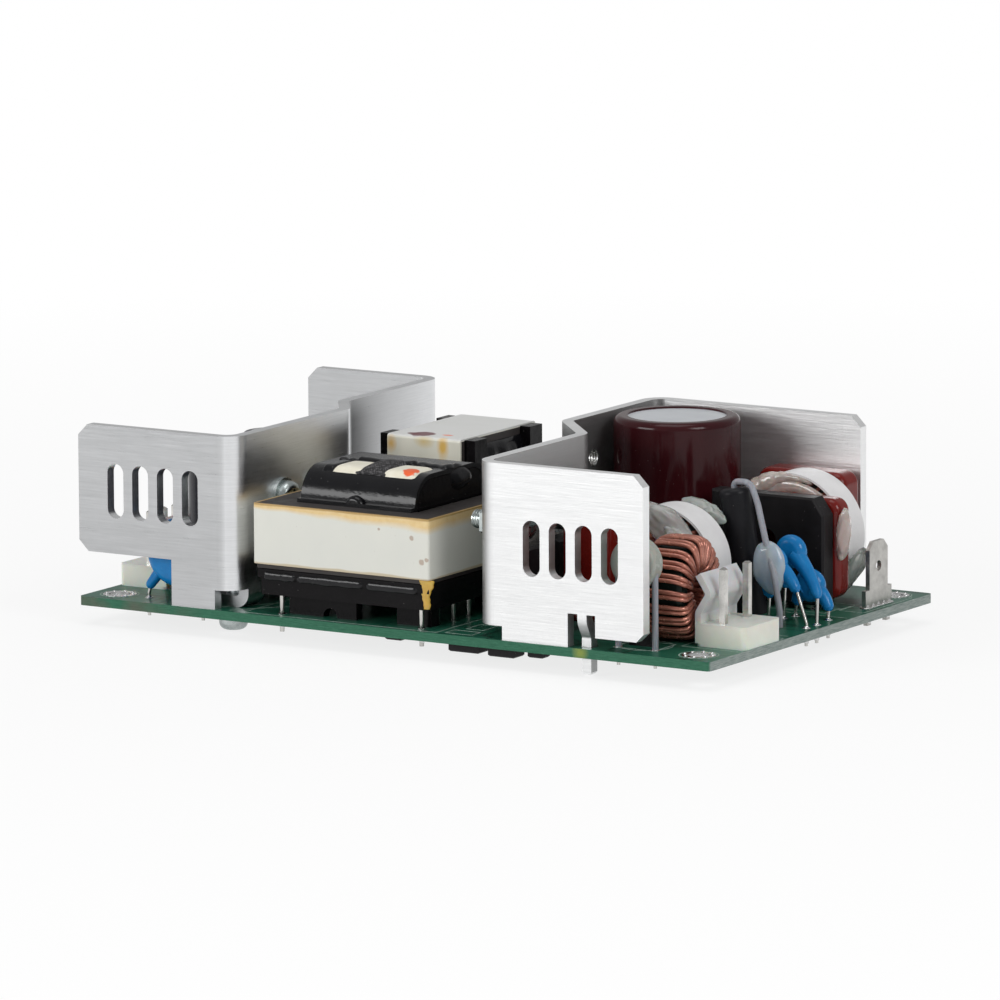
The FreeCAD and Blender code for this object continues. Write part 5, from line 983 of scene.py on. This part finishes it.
# %% [markdown]
# ## Where the leads come through
#
# Solder goes wherever a lead passes the board. The places are read from the
# packed solids themselves: the points of each lead below the board are gathered,
# and points closer than a lead's width count as one lead. A typed list of places
# would be shorter, but it would go wrong as soon as a part is moved.

# %% Find the leads
def lead_places(node, gap=1.3):
    """Plan positions of the separate leads of a node, under the board."""
    data = nodes[node].data
    points = np.empty(len(data.vertices) * 3, np.float32)
    data.vertices.foreach_get("co", points)
    points = (points.reshape(-1, 3) - CORNER) / MM
    low = points[points[:, 2] < -BOARD_THICKNESS - 0.4][:, :2]
    places = np.unique(np.round(low, 1), axis=0)
    found = []
    while len(places):
        near = np.linalg.norm(places - places[0], axis=1) < gap
        while True:
            centre = (places[near].min(axis=0) + places[near].max(axis=0)) / 2
            more = np.linalg.norm(places - centre, axis=1) < gap * 0.8
            if (more == near).all():
                break
            near = more | near
            if more.sum() <= near.sum():
                break
        found.append((places[near].min(axis=0) + places[near].max(axis=0)) / 2)
        places = places[~near]
    return np.array(found).reshape(-1, 2)


thin_leads = np.concatenate([lead_places(n) for n in ("component_leads", "main_transformer_pins",
                                                      "rear_inductor_pins")])
thick_leads = np.concatenate([lead_places(n) for n in ("header_pins", "earth_blade_terminal",
                                                       "fuse_return_lead", "device_lead_frames")])
print(len(thin_leads), "thin leads", len(thick_leads), "thick leads")

# %% [markdown]
# ## Solder joints
#
# A good joint is a small bell: wide and flat at the pad, drawn up to the lead.
# Its outline is a falling square curve, turned about the lead. Below the board
# each lead has one. Above it only the ones that can be seen have a low fillet.
# Sculpting a hundred of them would be slow, and one turned curve stays light.

# %% Solder joints
def joints(places, foot, top, height, wall, down=True, around=12):
    """Bells at many places: radius = top + (foot - top) (1 - h)^2.4 for h from 0 to 1."""
    h = np.linspace(0.0, 1.0, 6)
    radius = top + (foot - top) * (1 - h) ** 2.4
    radius = np.concatenate([[0.02, foot * 1.02], radius, [0.02]])
    level = np.concatenate([[0.0, 0.0], wall + h * height, [wall + height]])
    sign = -1.0 if down else 1.0
    base = -BOARD_THICKNESS if down else 0.0
    bell = turned(np.stack([radius, base + sign * level], axis=1), (0, 0, 0), around)
    offset = np.concatenate([places, np.zeros((len(places), 1))], axis=1)
    return bell[None] + offset[:, None, None, :]


skin("solder_joints_thin", joints(thin_leads, foot=0.95, top=0.42, height=0.95, wall=0.06),
     solder_metal, "tinned_steel")
skin("solder_joints_thick", joints(thick_leads, foot=1.35, top=0.62, height=1.05, wall=0.06),
     solder_metal, "tinned_steel")
upper_leads = thin_leads[(thin_leads[:, 0] > 114) | (thin_leads[:, 1] < 8)]
skin("solder_fillets", joints(upper_leads, foot=0.8, top=0.36, height=0.35, wall=0.03, down=False),
     solder_metal, "tinned_steel")
blade_low, blade_high = measured_box("earth_blade_terminal")
blade_x = (blade_low[0] + blade_high[0]) / 2
blade_feet = np.array([[blade_x, y] for y in np.linspace(blade_low[1] + 0.8, blade_high[1] - 0.8, 5)])
skin("blade_solder", joints(blade_feet, foot=1.15, top=0.45, height=0.55, wall=0.03, down=False),
     solder_metal, "tinned_steel")

# %% [markdown]
# ## Mounting pads
#
# Each mounting hole has a tinned ring on both faces and a plated wall, with
# eight small lumps of solder round it. The ring is a closed outline turned
# about the hole, so its last ring of points joins its first. The ring could be
# cut with a Boolean, but a turned outline has even quads and no stray edges.

# %% Mounting pads
HOLE_INSET = 5.08
HOLE_RADIUS = 2.0
PAD_RADIUS = 2.95
PAD_HEIGHT = 0.05
LUMP_CIRCLE = 2.48


def pad_outline(inner, outer, lift):
    """The outline of a plated hole: out over the top, back under the board."""
    top = lift
    bottom = -BOARD_THICKNESS - lift
    return [(inner, top), (outer, top), (outer, 0.0), (inner + 0.05, 0.0),
            (inner + 0.05, -BOARD_THICKNESS), (outer, -BOARD_THICKNESS), (outer, bottom), (inner, bottom)]


hole_places = np.array([[x, y] for x in (HOLE_INSET, BOARD_LENGTH - HOLE_INSET)
                        for y in (HOLE_INSET, BOARD_WIDTH - HOLE_INSET)])
hole_centres = np.concatenate([hole_places, np.zeros((4, 1))], axis=1)
pad = turned(pad_outline(HOLE_RADIUS - 0.05, PAD_RADIUS, PAD_HEIGHT), (0, 0, 0), 48)
skin("mounting_pads", pad[None] + hole_centres[:, None, None, :], solder_metal, "tinned_steel", wrap=True,
     smooth=False)
lump_angles = np.arange(8) * np.pi / 4 + 0.2
lump_offsets = LUMP_CIRCLE * np.stack([np.cos(lump_angles), np.sin(lump_angles)], axis=1)
lumps = (hole_places[:, None] + lump_offsets).reshape(-1, 2)
skin("mounting_pad_lumps", joints(lumps, foot=0.4, top=0.2, height=0.2, wall=0.05, down=False, around=10),
     solder_metal, "tinned_steel")

# %% [markdown]
# ## Bare tops of the output capacitors
#
# The sleeve of a small can is shrunk over its edge and leaves the middle of the
# top bare, with a cross pressed into it: the can opens along that cross if it
# ever fails. The cross could be drawn in the material alone, but seen from
# above its edges should catch the light, so the top is a disc on a round grid
# whose height drops along two crossing lines.

# %% Pressed can tops
def pressed_top(x, y, level, radius, rings=18, around=72):
    """Circles that shrink to the middle; height falls by a narrow bell along two lines."""
    reach = radius * np.linspace(1.0, 0.02, rings)[:, None]
    angle = np.linspace(0, 2 * np.pi, around, endpoint=False)
    side, front = reach * np.cos(angle), reach * np.sin(angle)
    nearest = np.minimum(abs(side), abs(front))
    inside = np.clip((0.8 * radius - reach) / 0.3, 0, 1)
    height = level + 0.16 - 0.13 * np.exp(-(nearest / 0.2) ** 2) * inside
    height[0] = level - 0.02
    return np.stack([x + side, y + front, height], axis=-1)


can_tops = []
for number in (1, 2, 3):
    low, high = measured_box(f"output_capacitor_{number}")
    middle = (low + high) / 2
    can_tops.append(pressed_top(middle[0], middle[1], high[2], (high[0] - low[0]) / 2 - 1.3))
skin("output_capacitor_tops", np.stack(can_tops), can_metal, "can_aluminium")

# %% [markdown]
# ## White board print
#
# The board carries white outlines that show where each part goes. They are
# hair-thin bars that follow the outlines, rounds for the round parts and
# rectangles for the others. Ink could be a mask in the board's finish, but bars
# stay sharp, and several of them follow the packed parts.

# %% Board print
PRINT_WIDTH = 0.18
PRINT_HEIGHT = 0.03


def print_finish():
    """White ink, broken up a little by the tooth of the mask."""
    material, tree, shader = finish("board_print", Roughness=0.6)
    place = object_place(tree)
    grit = place_group(tree, "fine grit", Place=place, Scale=3500.0)["Grain"]
    tree.links.new(mix_colour(tree, between(tree, grit, 0.35, 0.6), (0.16, 0.27, 0.21), (0.42, 0.49, 0.45)),
                   shader.inputs["Base Color"])
    raise_surface(tree, shader, grit, 0.00001, 0.3)
    return material


def ring_line(x, y, radius, points=64):
    """A closed round line."""
    angle = np.linspace(0, 2 * np.pi, points)
    return np.stack([x + radius * np.cos(angle), y + radius * np.sin(angle), np.zeros(points)], axis=1)


def straight_line(x0, y0, x1, y1, points=64):
    """A line between two points, with as many samples as a round one."""
    share = np.linspace(0, 1, points)
    return np.stack([x0 + (x1 - x0) * share, y0 + (y1 - y0) * share, np.zeros(points)], axis=1)


def outline_lines(x0, y0, x1, y1):
    """The four sides of a rectangle."""
    return [straight_line(x0, y0, x1, y0), straight_line(x1, y0, x1, y1),
            straight_line(x1, y1, x0, y1), straight_line(x0, y1, x0, y0)]


def part_outline(node, margin):
    """A rectangle round a packed node's plan."""
    low, high = measured_box(node)
    return outline_lines(low[0] - margin, low[1] - margin, high[0] + margin, high[1] + margin)


print("printed lines are", PRINT_WIDTH, "mm wide and", PRINT_HEIGHT, "mm high")

# %% [markdown]
# ## Laying out the print
#
# Lines that belong to a packed part are worked out from its box, so they follow
# it. The others mark places where nothing packed gives a measure, and are set
# out from the board's corner. They all become one mesh, because forty loose
# lines would only be in the way.

# %% Laying out the print
bulk = ring_middle("bulk_capacitor_can")
lines = [ring_line(bulk[0], bulk[1], 11.9)]
lines += [ring_line(x, y, 3.35) for x, y in hole_places]
lines += part_outline("rear_inductor_bobbin", 0.9) + part_outline("bridge_rectifier", 0.9)
lines += part_outline("middle_film_capacitor", 0.5) + part_outline("isolator", 0.7)
lines += outline_lines(33.6, 0.9, 72.6, 37.4)
lines += outline_lines(74.0, 1.6, 79.2, 4.6) + outline_lines(75.2, 6.4, 78.6, 11.2)
lines += outline_lines(105.6, 4.4, 113.6, 11.6) + [ring_line(109.8, 8.2, 4.6)]
lines += outline_lines(115.2, 10.8, 126.6, 25.4) + outline_lines(121.4, 53.4, 126.2, 70.4)
lines += [straight_line(26.0, 1.4, 34.4, 11.6), straight_line(30.4, 1.2, 38.8, 11.4)]
lines += [straight_line(112.6, 27.6, 126.2, 27.6), straight_line(112.6, 47.6, 126.2, 47.6)]
skin("board_print", np.stack([ribbon(line, PRINT_WIDTH, PRINT_HEIGHT) for line in lines]), print_finish(),
     "laminate", smooth=False)

# %% [markdown]
# ## The woven strap over the cover
#
# A strip of dark cloth tape crosses the cover between its two windows and
# bulges a little. It is a sheet whose height is the crown plus a sine across
# its length, thinned towards its side edges. Cloth simulation could drape it,
# but it is stuck down, so a formula is enough. The weave is a bump that follows
# the sheet's own coordinates.

# %% Strap
def strap_finish():
    """Two sets of threads over and under each other, from the piece's own UV map."""
    material, tree, shader = finish("dark_cloth", Roughness=0.75)
    own = add(tree, "ShaderNodeUVMap", uv_map="Surface").outputs[0]
    threads = parts_of(tree, stretched(tree, own, (34.0, 18.0, 1.0)))
    warp, weft = (math_node(tree, "SINE", times(tree, threads[axis], 2 * math.pi)) for axis in "XY")
    weave = between(tree, times(tree, warp, weft), -1.0, 1.0)
    rough = noise(tree, object_place(tree), 1900.0, 2.0)
    height = math_node(tree, "ADD", times(tree, weave, 0.5), times(tree, rough, 1.4))
    # The highest points of the weave and grain are mixed to a lighter grey.
    lighter_peaks = between(tree, height, 0.95, 1.35)
    tree.links.new(mix_colour(tree, lighter_peaks, (0.007, 0.0065, 0.008), (0.16, 0.155, 0.16)),
                   shader.inputs["Base Color"])
    raise_surface(tree, shader, height, 0.00018, 0.8)
    return material


def strap(x0, x1, y0, y1, crown, bulge, drop):
    """Rings across the strip: the top curve out and a flat foot back.

    Height = crown + bulge sin(pi v) (1 - (2u - 1)^4), with both ends drooping by drop."""
    v = np.linspace(0, 1, 36)[:, None]
    u = np.linspace(0, 1, 24)[None, :]
    inset = 0.35 * np.sin(np.pi * v)
    x = (x0 + inset) + (x1 - x0 - 2 * inset) * u
    y = y0 + (y1 - y0) * v + 0 * u
    z = crown + bulge * np.sin(np.pi * v) * (1 - (2 * u - 1) ** 4) - drop * (2 * v - 1) ** 4 + 0 * u
    top = np.stack([x, y, z], axis=-1)
    foot = top[:, ::-1].copy()
    foot[..., 2] = crown - 0.5 - drop * (2 * v - 1) ** 4
    return np.concatenate([top, foot], axis=1)


cover_low, cover_high = measured_box("main_transformer_cover")
crown = cover_high[2]
cloth = strap(51.4, 57.4, cover_low[1] + 3.9, cover_low[1] + 15.4, crown + 0.05, bulge=0.9, drop=0.5)
skin("cover_strap", cloth, strap_finish(), "black_moulding")

# %% [markdown]
# ## The coil in the cover's windows
#
# The coil's cream tape swells up through the two windows of the cover. Each
# swelling is a small cushion: flat in the middle, and falling off steeply at
# its sides. It wears the coil's own finish, so the orange dab of paint falls on
# it. A third cushion in the cover's black is the edge of the film, which laps
# over the outer side of the left window. A subdivided cube would give the same
# shape, but a power curve sets how flat the middle is with one number.

# %% Coil crowns
def cushion(x0, x1, y0, y1, base, rise, power=3.0):
    """Rings across a pad: height = base + rise (1 - |2u-1|^p) (1 - |2v-1|^p), with a flat foot."""
    v = np.linspace(0, 1, 30)[:, None]
    u = np.linspace(0, 1, 24)[None, :]
    x = x0 + (x1 - x0) * u + 0 * v
    y = y0 + (y1 - y0) * v + 0 * u
    z = base + rise * (1 - np.abs(2 * u - 1) ** power) * (1 - np.abs(2 * v - 1) ** power)
    top = np.stack([x, y, z], axis=-1)
    foot = top[:, ::-1].copy()
    foot[..., 2] = base - 0.3
    return np.concatenate([top, foot], axis=1)


cushion_foot = crown - 1.5
crowns = np.stack([cushion(46.2, 52.9, 8.7, 16.6, cushion_foot, 1.9, 7.0),
                   cushion(56.2, 63.8, 8.7, 16.6, cushion_foot, 1.95, 7.0)])
skin("coil_crowns", crowns, coil_cream, "taped_coil")
edge_film = cushion(44.4, 46.9, 8.7, 16.7, cushion_foot, 1.8, 8.0)
skin("cover_edge_film", edge_film, cover_black, "black_moulding")

# %% [markdown]
# ## Folded film and lacquer
#
# The cover's film is folded in behind the windows. It stands up as a low, lumpy
# bar, and it bulges over the end of the coil at the right. Three more bars are
# the lacquer that set along the coil former's front rail. A plain cylinder would
# look drawn with a ruler, so the section swells and shrinks along the way.

# %% Folded film of the cover
def bar(x0, x1, y, z, depth, height, waves, seed):
    """A level bar whose section swells and shrinks in slow waves along its length."""
    draw = np.random.default_rng(seed)
    s = np.linspace(0, 1, 60)[:, None]
    angle = np.linspace(0, 2 * np.pi, 20, endpoint=False)[None, :]
    swell = 1 + waves * sum(np.sin(s * draw.uniform(5, 22) + draw.uniform(0, 6)) for _ in range(4))
    ends = np.clip(np.sin(np.pi * s) * 6, 0.05, 1) ** 0.5
    return np.stack([x0 + (x1 - x0) * s + 0 * angle, y + depth * swell * ends * np.cos(angle),
                     z + height * swell * ends * np.sin(angle)], axis=-1)


folds = np.stack([bar(46.5, 58.5, 17.7, crown - 0.1, 1.1, 0.75, 0.07, 3),
                  bar(56.5, 64.9, 18.6, crown - 0.1, 1.3, 0.55, 0.09, 8),
                  bar(43.0, 48.0, 17.5, crown - 0.2, 1.0, 0.5, 0.08, 5)])
skin("cover_folds", folds, cover_black, "black_moulding")
rail_front = measured_box("main_transformer_bobbin")[0][1]
swellings = np.stack([bar(x0, x1, rail_front + 0.12, 6.75, 0.38, 0.72, 0.05, seed)
                      for x0, x1, seed in ((37.6, 43.9, 2), (44.2, 57.7, 6), (58.3, 68.6, 11))])
skin("lacquer_swellings", swellings, cover_black, "black_moulding")
end_bulge = lump((64.2, 21.4, crown - 2.2), (1.6, 4.2, 2.3), 15, 0.07)
skin("cover_end_bulge", end_bulge, cover_black, "black_moulding")

# %% [markdown]
# ## The rear inductor's wrapped coil
#
# Between the inductor's end cheeks the coil shows at its right side: black
# tape, wound in soft folds. It is a sheet that bulges outwards as half a sine
# in height and carries shallow vertical waves along its length. A displaced
# plane could do it too, but the sheet needs a back, so that it is solid.

# %% Wrapped coil
def wrapped_side(x, bulge, y0, y1, z0, z1, fold):
    """x = foot + bulge sin(pi h)^0.6 + waves along y; the back of the sheet is flat."""
    y = np.linspace(y0, y1, 60)[:, None]
    h = np.linspace(0.0, 1.0, 22)[None, :]
    out = bulge * np.sin(np.pi * h) ** 0.6 * (1 + 0.3 * np.sin(y * 0.45 + 1.0 * h * 3))
    ripple = fold * np.sin(y * 1.7 + 2.2 * np.sin(h * 3.1)) * np.sin(np.pi * h)
    front = np.stack([x + out + ripple, y + 0 * h, z0 + (z1 - z0) * h + 0 * y], axis=-1)
    back = front[:, ::-1].copy()
    back[..., 0] = x - 0.8
    return np.concatenate([front, back], axis=1)


coil_low, coil_high = measured_box("rear_inductor_tape")
coil_wrap = wrapped_side(coil_high[0] + 0.2, 1.5, coil_low[1] + 3.4, coil_high[1] - 3.4, 5.0, 24.6, 0.28)
skin("inductor_coil_wrap", coil_wrap, cover_black, "dark_coil")

# %% [markdown]
# ## Varnish and glue
#
# Varnish ran down the transformer's front right corner and set as an amber
# tear. Glue was run on the chokes and on the fuse's lead: clear at its thin
# edges, milky where it is thick. A volume could make it milky, but it would be
# slow and an export would lose it, so part transmission and a little subsurface
# scattering do it on the shader's own sockets.

# %% Varnish and glue lumps
def glue_finish(name, colour, second, clear, rough=0.14):
    """Set glue: milky clouds, see-through where the tone is low."""
    material, tree, shader = finish(name, Roughness=rough, IOR=1.46, Transmission_Weight=clear,
                                    Subsurface_Weight=0.15, Subsurface_Scale=0.002, Coat_Weight=0.7,
                                    Coat_Roughness=0.04)
    place = object_place(tree)
    tone = place_group(tree, "cloudy tone", Place=place, Scale=260.0)["Tone"]
    tree.links.new(mix_colour(tree, tone, colour, second), shader.inputs["Base Color"])
    raise_surface(tree, shader, noise(tree, place, 500.0, 2.0), 0.00014, 0.5)
    return material


clear_glue = glue_finish("clear_glue", (0.70, 0.69, 0.66), (0.90, 0.89, 0.86), 0.72, 0.1)
milky_glue = glue_finish("milky_glue", (0.74, 0.58, 0.52), (0.88, 0.83, 0.77), 0.6, 0.1)
grey_glue = glue_finish("grey_glue", (0.62, 0.68, 0.65), (0.82, 0.86, 0.82), 0.65, 0.1)
blue_glue = glue_finish("lead_glue", (0.62, 0.74, 0.78), (0.80, 0.87, 0.90), 0.55)
lead_glue = lump((117.95, 35.6, 9.8), (3.1, 1.6, 4.7), 4, 0.05, -8.0)
skin("fuse_lead_glue", lead_glue, blue_glue, "nylon")
choke_glue = np.stack([lump((103.7, 25.6, 17.0), (5.2, 1.7, 2.7), 7, 0.12, 34.0, 0.018),
                       lump((101.0, 26.2, 20.0), (3.8, 1.5, 0.9), 12, 0.12, 10.0, 0.02),
                       lump((106.4, 24.4, 15.6), (2.6, 1.9, 1.7), 3, 0.12, 34.0, 0.018)])
skin("first_line_choke_glue", choke_glue, clear_glue, "nylon")
capacitor_glue = lump((104.4, 36.0, 18.9), (4.2, 1.5, 1.7), 21, 0.12, 18.0, 0.016)
skin("capacitor_glue", capacitor_glue, grey_glue, "nylon")
foot_glue = lump((118.9, 61.4, 5.2), (1.7, 1.7, 4.7), 9, 0.12, 34.0, 0.014)
skin("second_line_choke_foot", foot_glue, grey_glue, "nylon")

# %% [markdown]
# ## Glue collar
#
# The second line choke is half hidden in glue: a thick, wrinkled collar on its
# front face, thicker at the top and at the right, where it has run over the
# tape. A row of lumps would show its joints, so each collar is one tube bent
# along part of a ring. One upright lump is added at its right side.

# %% Glue collar on the second line choke
def collar(centre, radius, thick, deep, start, end, folds):
    """A tube bent along part of a ring, its section swelling and wrinkling along the way.

    Section size = thick (0.7 + 0.3 sin(3a)) (1 + folds sin(23a)) and zero at both ends."""
    a = np.radians(np.linspace(start, end, 120))[:, None]
    share = np.linspace(0, 1, 120)[:, None]
    angle = np.linspace(0, 2 * np.pi, 20, endpoint=False)[None, :]
    ends = np.sqrt(np.clip(np.sin(np.pi * share), 0.0004, 1))
    size = (0.7 + 0.3 * np.sin(3 * a + 0.6)) * (1 + folds * np.sin(23 * a) + folds * np.sin(37 * a)) * ends
    out = radius + thick * size * np.cos(angle)
    depth = deep * size * np.sin(angle)
    return np.stack([centre[0] + out * np.cos(a), centre[1] + depth, centre[2] + out * np.sin(a)], axis=-1)


second_low, second_high = measured_box("second_line_choke_tape")
second_middle = (second_low + second_high) / 2
face = (second_middle[0], second_low[1] + 0.2, second_middle[2])
collars = np.stack([collar(face, 8.7, 2.4, 1.0, 20.0, 168.0, 0.02),
                    collar(face, 10.2, 2.0, 1.5, 66.0, 176.0, 0.035),
                    collar((face[0], second_high[1] - 0.2, face[2]), 8.4, 2.2, 0.8, 10.0, 200.0, 0.035)])
skin("second_line_choke_glue", collars, milky_glue, "nylon")
lobes = lump((121.0, 55.6, 13.4), (1.0, 1.8, 4.6), 31, 0.13, 6.0, 0.018)
skin("second_line_choke_lobes", lobes, milky_glue, "nylon")

# %% [markdown]
# ## Varnish tear
#
# The varnish tear hangs from the tape at the corner: broad at its top, pinched
# halfway, with a small foot. It is a stack of flat ovals, and two short lists
# give their half widths and depths from top to bottom, as read off the photo.

# %% Varnish tear
def tear(x, y, top, bottom, widths, depths):
    """Rings from top to bottom, their half width and depth read between the listed values."""
    level = np.linspace(0, 1, 40)
    knots = np.linspace(0, 1, len(widths))
    width = np.interp(level, knots, widths) + 0.06 * np.sin(level * 31)
    depth = np.interp(level, knots, depths)
    angle = np.linspace(0, 2 * np.pi, 20, endpoint=False)[None, :]
    px = x + width[:, None] * np.cos(angle) + 0.12 * np.sin(level * 9)[:, None]
    py = y + depth[:, None] * np.sin(angle)
    pz = np.repeat((top + (bottom - top) * level)[:, None], 20, axis=1)
    return np.stack([px, py, pz], axis=-1)


amber_varnish = glue_finish("amber_varnish", (0.62, 0.34, 0.03), (0.74, 0.50, 0.08), 0.2, 0.2)
TEAR_WIDTHS = (1.5, 1.35, 1.0, 0.75, 0.7, 0.62)
TEAR_DEPTHS = (0.6, 0.5, 0.45, 0.4, 0.5, 0.3)
skin("varnish_tear", tear(70.3, 1.5, 8.7, 3.7, TEAR_WIDTHS, TEAR_DEPTHS), amber_varnish, "core_tape")

# %% [markdown]
# ## Resin on the disc capacitors' legs
#
# The discs are dipped upright, so the blue resin runs down both legs and thins
# out along them. Each run is a tube along a bowed path: thick where it leaves
# the disc, thin at the end, and closed there with a round tip. A modifier could
# thicken the packed legs, but only a new tube can thin out along its way.

# %% Dipped legs
def dipped_leg(start, end, thick, thin, bow):
    """Path = straight line + bow sin(pi t); radius falls as t^0.7 and rounds off at the tip."""
    s = np.linspace(0, 1, 44)
    path = np.asarray(start, float) + (np.asarray(end, float) - start) * s[:, None]
    path = path + np.asarray(bow, float) * np.sin(np.pi * s)[:, None]
    tip = np.sqrt(np.clip(1 - (np.clip(s - 0.9, 0, 0.1) / 0.1) ** 2, 0.003, 1))
    radius = (thick + (thin - thick) * s ** 0.7) * tip
    return tube(path, radius, (0.0, 1.0, 0.2), 20)


disc_runs = []
for inset, y, height, drops in ((9.4, 37.0, 10.6, ((-0.6, 0.2, 5.0), (5.2, -0.8, 6.6))),
                                (8.5, 42.0, 11.8, ((-1.3, 0.3, 6.0), (6.4, -2.2, 5.2))),
                                (6.6, 45.2, 5.6, ((-2.6, 0.0, 2.6), (3.9, -0.4, 2.2)))):
    centre = np.array([BOARD_LENGTH - inset, y, height])
    for dx, dy, end_height in drops:
        side = 1.0 if dx > 0 else -1.0
        end = np.array([centre[0] + dx * 1.04, y + dy * 1.04, end_height - 0.5])
        start = centre + (side * 0.9, 0.0, -0.6)
        disc_runs.append(dipped_leg(start, end, 1.75, 0.92, (side * 0.25, 0.0, 0.45)))
skin("dipped_legs", np.stack(disc_runs), blue_resin, "blue_resin")

# %% [markdown]
# ## Threads
#
# Screw threads are small here, but two screw ends and one tapped hole face the
# camera. The Screw modifier could cut a true thread. A thin ridge that follows a
# helix is lighter, and it lies on the packed screw without changing it.

# %% Screw threads
def thread(start, end, centre_y, centre_z, radius, pitch, ridge):
    """A helix about a level axis: angle 2 pi x / pitch, with a three sided ridge."""
    turns = abs(end - start) / pitch
    t = np.linspace(0, 1, int(turns * 28))
    angle = 2 * np.pi * turns * t
    path = np.stack([start + (end - start) * t, centre_y + radius * np.cos(angle),
                     centre_z + radius * np.sin(angle)], axis=1)
    return tube(path, ridge, (1.0, 0.0, 0.0), 5)


THREAD_PITCH = 0.5
thread_rings = np.stack([thread(75.3, 77.5, y, 18.6, 1.5, THREAD_PITCH, 0.13) for y in (9.6, 21.5)])
skin("screw_threads", thread_rings, zinc, "plated_steel")
hole_thread = thread(70.95, 72.85, 52.2, 22.8, 1.42, THREAD_PITCH, 0.14)
skin("tapped_hole_thread", hole_thread, tin, "aluminium_sheet")

# %% [markdown]
# ## Floor
#
# The floor is plain, pale and matt, and it keeps the object's shadow. The white
# background isn't made with more light on the object. A share of plain white is
# mixed in for rays that come from the camera or through glass and glue, a
# little less of it close to the object, so that the soft shadow shows. Mirror
# rays see it a bit darker, so that bright metal keeps some drawing.

# %% Floor
SHADOW_ZONE = (0.08, 0.4)
MIRRORED_FLOOR = 0.7
FLOOR_GAP = 0.0004
FLOOR_REACH = 14.0


def floor_finish():
    """Pale matt paint, with a share of plain white for camera, glass and mirror rays."""
    material, tree, shader = finish("studio_floor", Base_Color=(0.90, 0.90, 0.90), Roughness=0.8)
    glow = add(tree, "ShaderNodeEmission", {"Color": (1, 1, 1, 1), "Strength": 1.0})
    path = add(tree, "ShaderNodeLightPath").outputs
    seen = math_node(tree, "MAXIMUM", path["Is Camera Ray"], path["Is Transmission Ray"])
    seen = math_node(tree, "MAXIMUM", seen, times(tree, path["Is Glossy Ray"], MIRRORED_FLOOR))
    distance = add(tree, "ShaderNodeVectorMath", {0: object_place(tree)},
                   operation="LENGTH").outputs["Value"]
    share = times(tree, seen, between(tree, distance, *SHADOW_ZONE, 0.8, 1.0))
    mixed = add(tree, "ShaderNodeMixShader", {0: share, 1: shader.outputs[0], 2: glow.outputs[0]})
    tree.links.new(mixed.outputs[0], tree.nodes["Material Output"].inputs["Surface"])
    return material


floor_level = cad_low.z - FLOOR_GAP
floor_corners = [(x * FLOOR_REACH, y * FLOOR_REACH, floor_level)
                 for x, y in ((-1, -1), (1, -1), (1, 1), (-1, 1))]
floor_data = bpy.data.meshes.new("studio_floor")
floor_data.from_pydata(floor_corners, [], [(0, 1, 2, 3)])
floor_data.materials.append(floor_finish())
floor = bpy.data.objects.new("studio_floor", floor_data)
bpy.context.scene.collection.objects.link(floor)
print("floor at", round(floor_level / MM, 2), "mm")

# %% [markdown]
# ## Lamps
#
# Soft light comes from large lamps, whose shadows have wide edges. The key lamp
# stands low at the front left and lights the flanges that face the camera. One
# lamp hangs above and one stands at the right. A weak, wide one lights the
# back. Metal and gloss don't mirror that one, or it would lay a grey sheen on
# the black cover. Small lamps would give hard shadows, which the photograph
# doesn't have.

# %% Lamps
AIM = (0.0, 0.0, 0.01)


def lamp(name, place, size, power):
    """A soft lamp, given by its two side lengths, that looks at the middle of the part."""
    data = bpy.data.lights.new(name, "AREA")
    data.shape = "RECTANGLE"
    data.size, data.size_y = size
    data.energy = power
    made = bpy.data.objects.new(name, data)
    bpy.context.scene.collection.objects.link(made)
    back = unit(np.asarray(place, float) - np.asarray(AIM, float))
    side = unit(np.cross((0.0, 0.0, 1.0), back))
    up = np.cross(back, side)
    turn = Matrix((tuple(side), tuple(up), tuple(back))).transposed().to_4x4()
    made.matrix_world = Matrix.Translation(place) @ turn
    made.visible_camera = False
    print(name, power, "W")
    return made


lamp("key_lamp", (-0.46, -0.84, 0.30), (0.55, 0.34), 4.0)
lamp("top_lamp", (0.0, -0.1, 1.0), (0.6, 0.6), 2.2)
lamp("side_lamp", (0.85, -0.25, 0.55), (0.4, 0.4), 3.2)
back_lamp = lamp("back_lamp", (-0.40, 1.10, 0.34), (1.5, 0.45), 1.3)
back_lamp.visible_glossy = False

# %% [markdown]
# ## World
#
# The world is a plain white surround. A sky picture would put coloured
# reflections on the metal. Light Path tells which kind of ray asks, so that
# the camera sees white, while the light on the part stays low enough to keep
# its shadows.

# %% World
WORLD_LIGHT = 0.42
MIRRORED_WORLD = 0.42

world = bpy.data.worlds.new("studio")
world.use_nodes = True
bpy.context.scene.world = world
sky = world.node_tree
background = sky.nodes["Background"]
background.inputs["Color"].default_value = (1, 1, 1, 1)
world_path = add(sky, "ShaderNodeLightPath").outputs
seen_through = math_node(sky, "MAXIMUM", world_path["Is Camera Ray"], world_path["Is Transmission Ray"])
mirrored = times(sky, world_path["Is Glossy Ray"], MIRRORED_WORLD)
plain_rays = math_node(sky, "MAXIMUM", seen_through, mirrored)
sky.links.new(math_node(sky, "MAXIMUM", plain_rays, WORLD_LIGHT), background.inputs["Strength"])
bpy.context.scene.view_settings.view_transform = "Standard"
print("world light", WORLD_LIGHT)

# %% [markdown]
# ## Size of the packed model
#
# Finishes and added pieces must not change the size of the part. The box of the packed model is printed.

# %% Size of the packed model
print("cad", [round(v / MM, 2) for v in (*cad_low, *cad_high)])
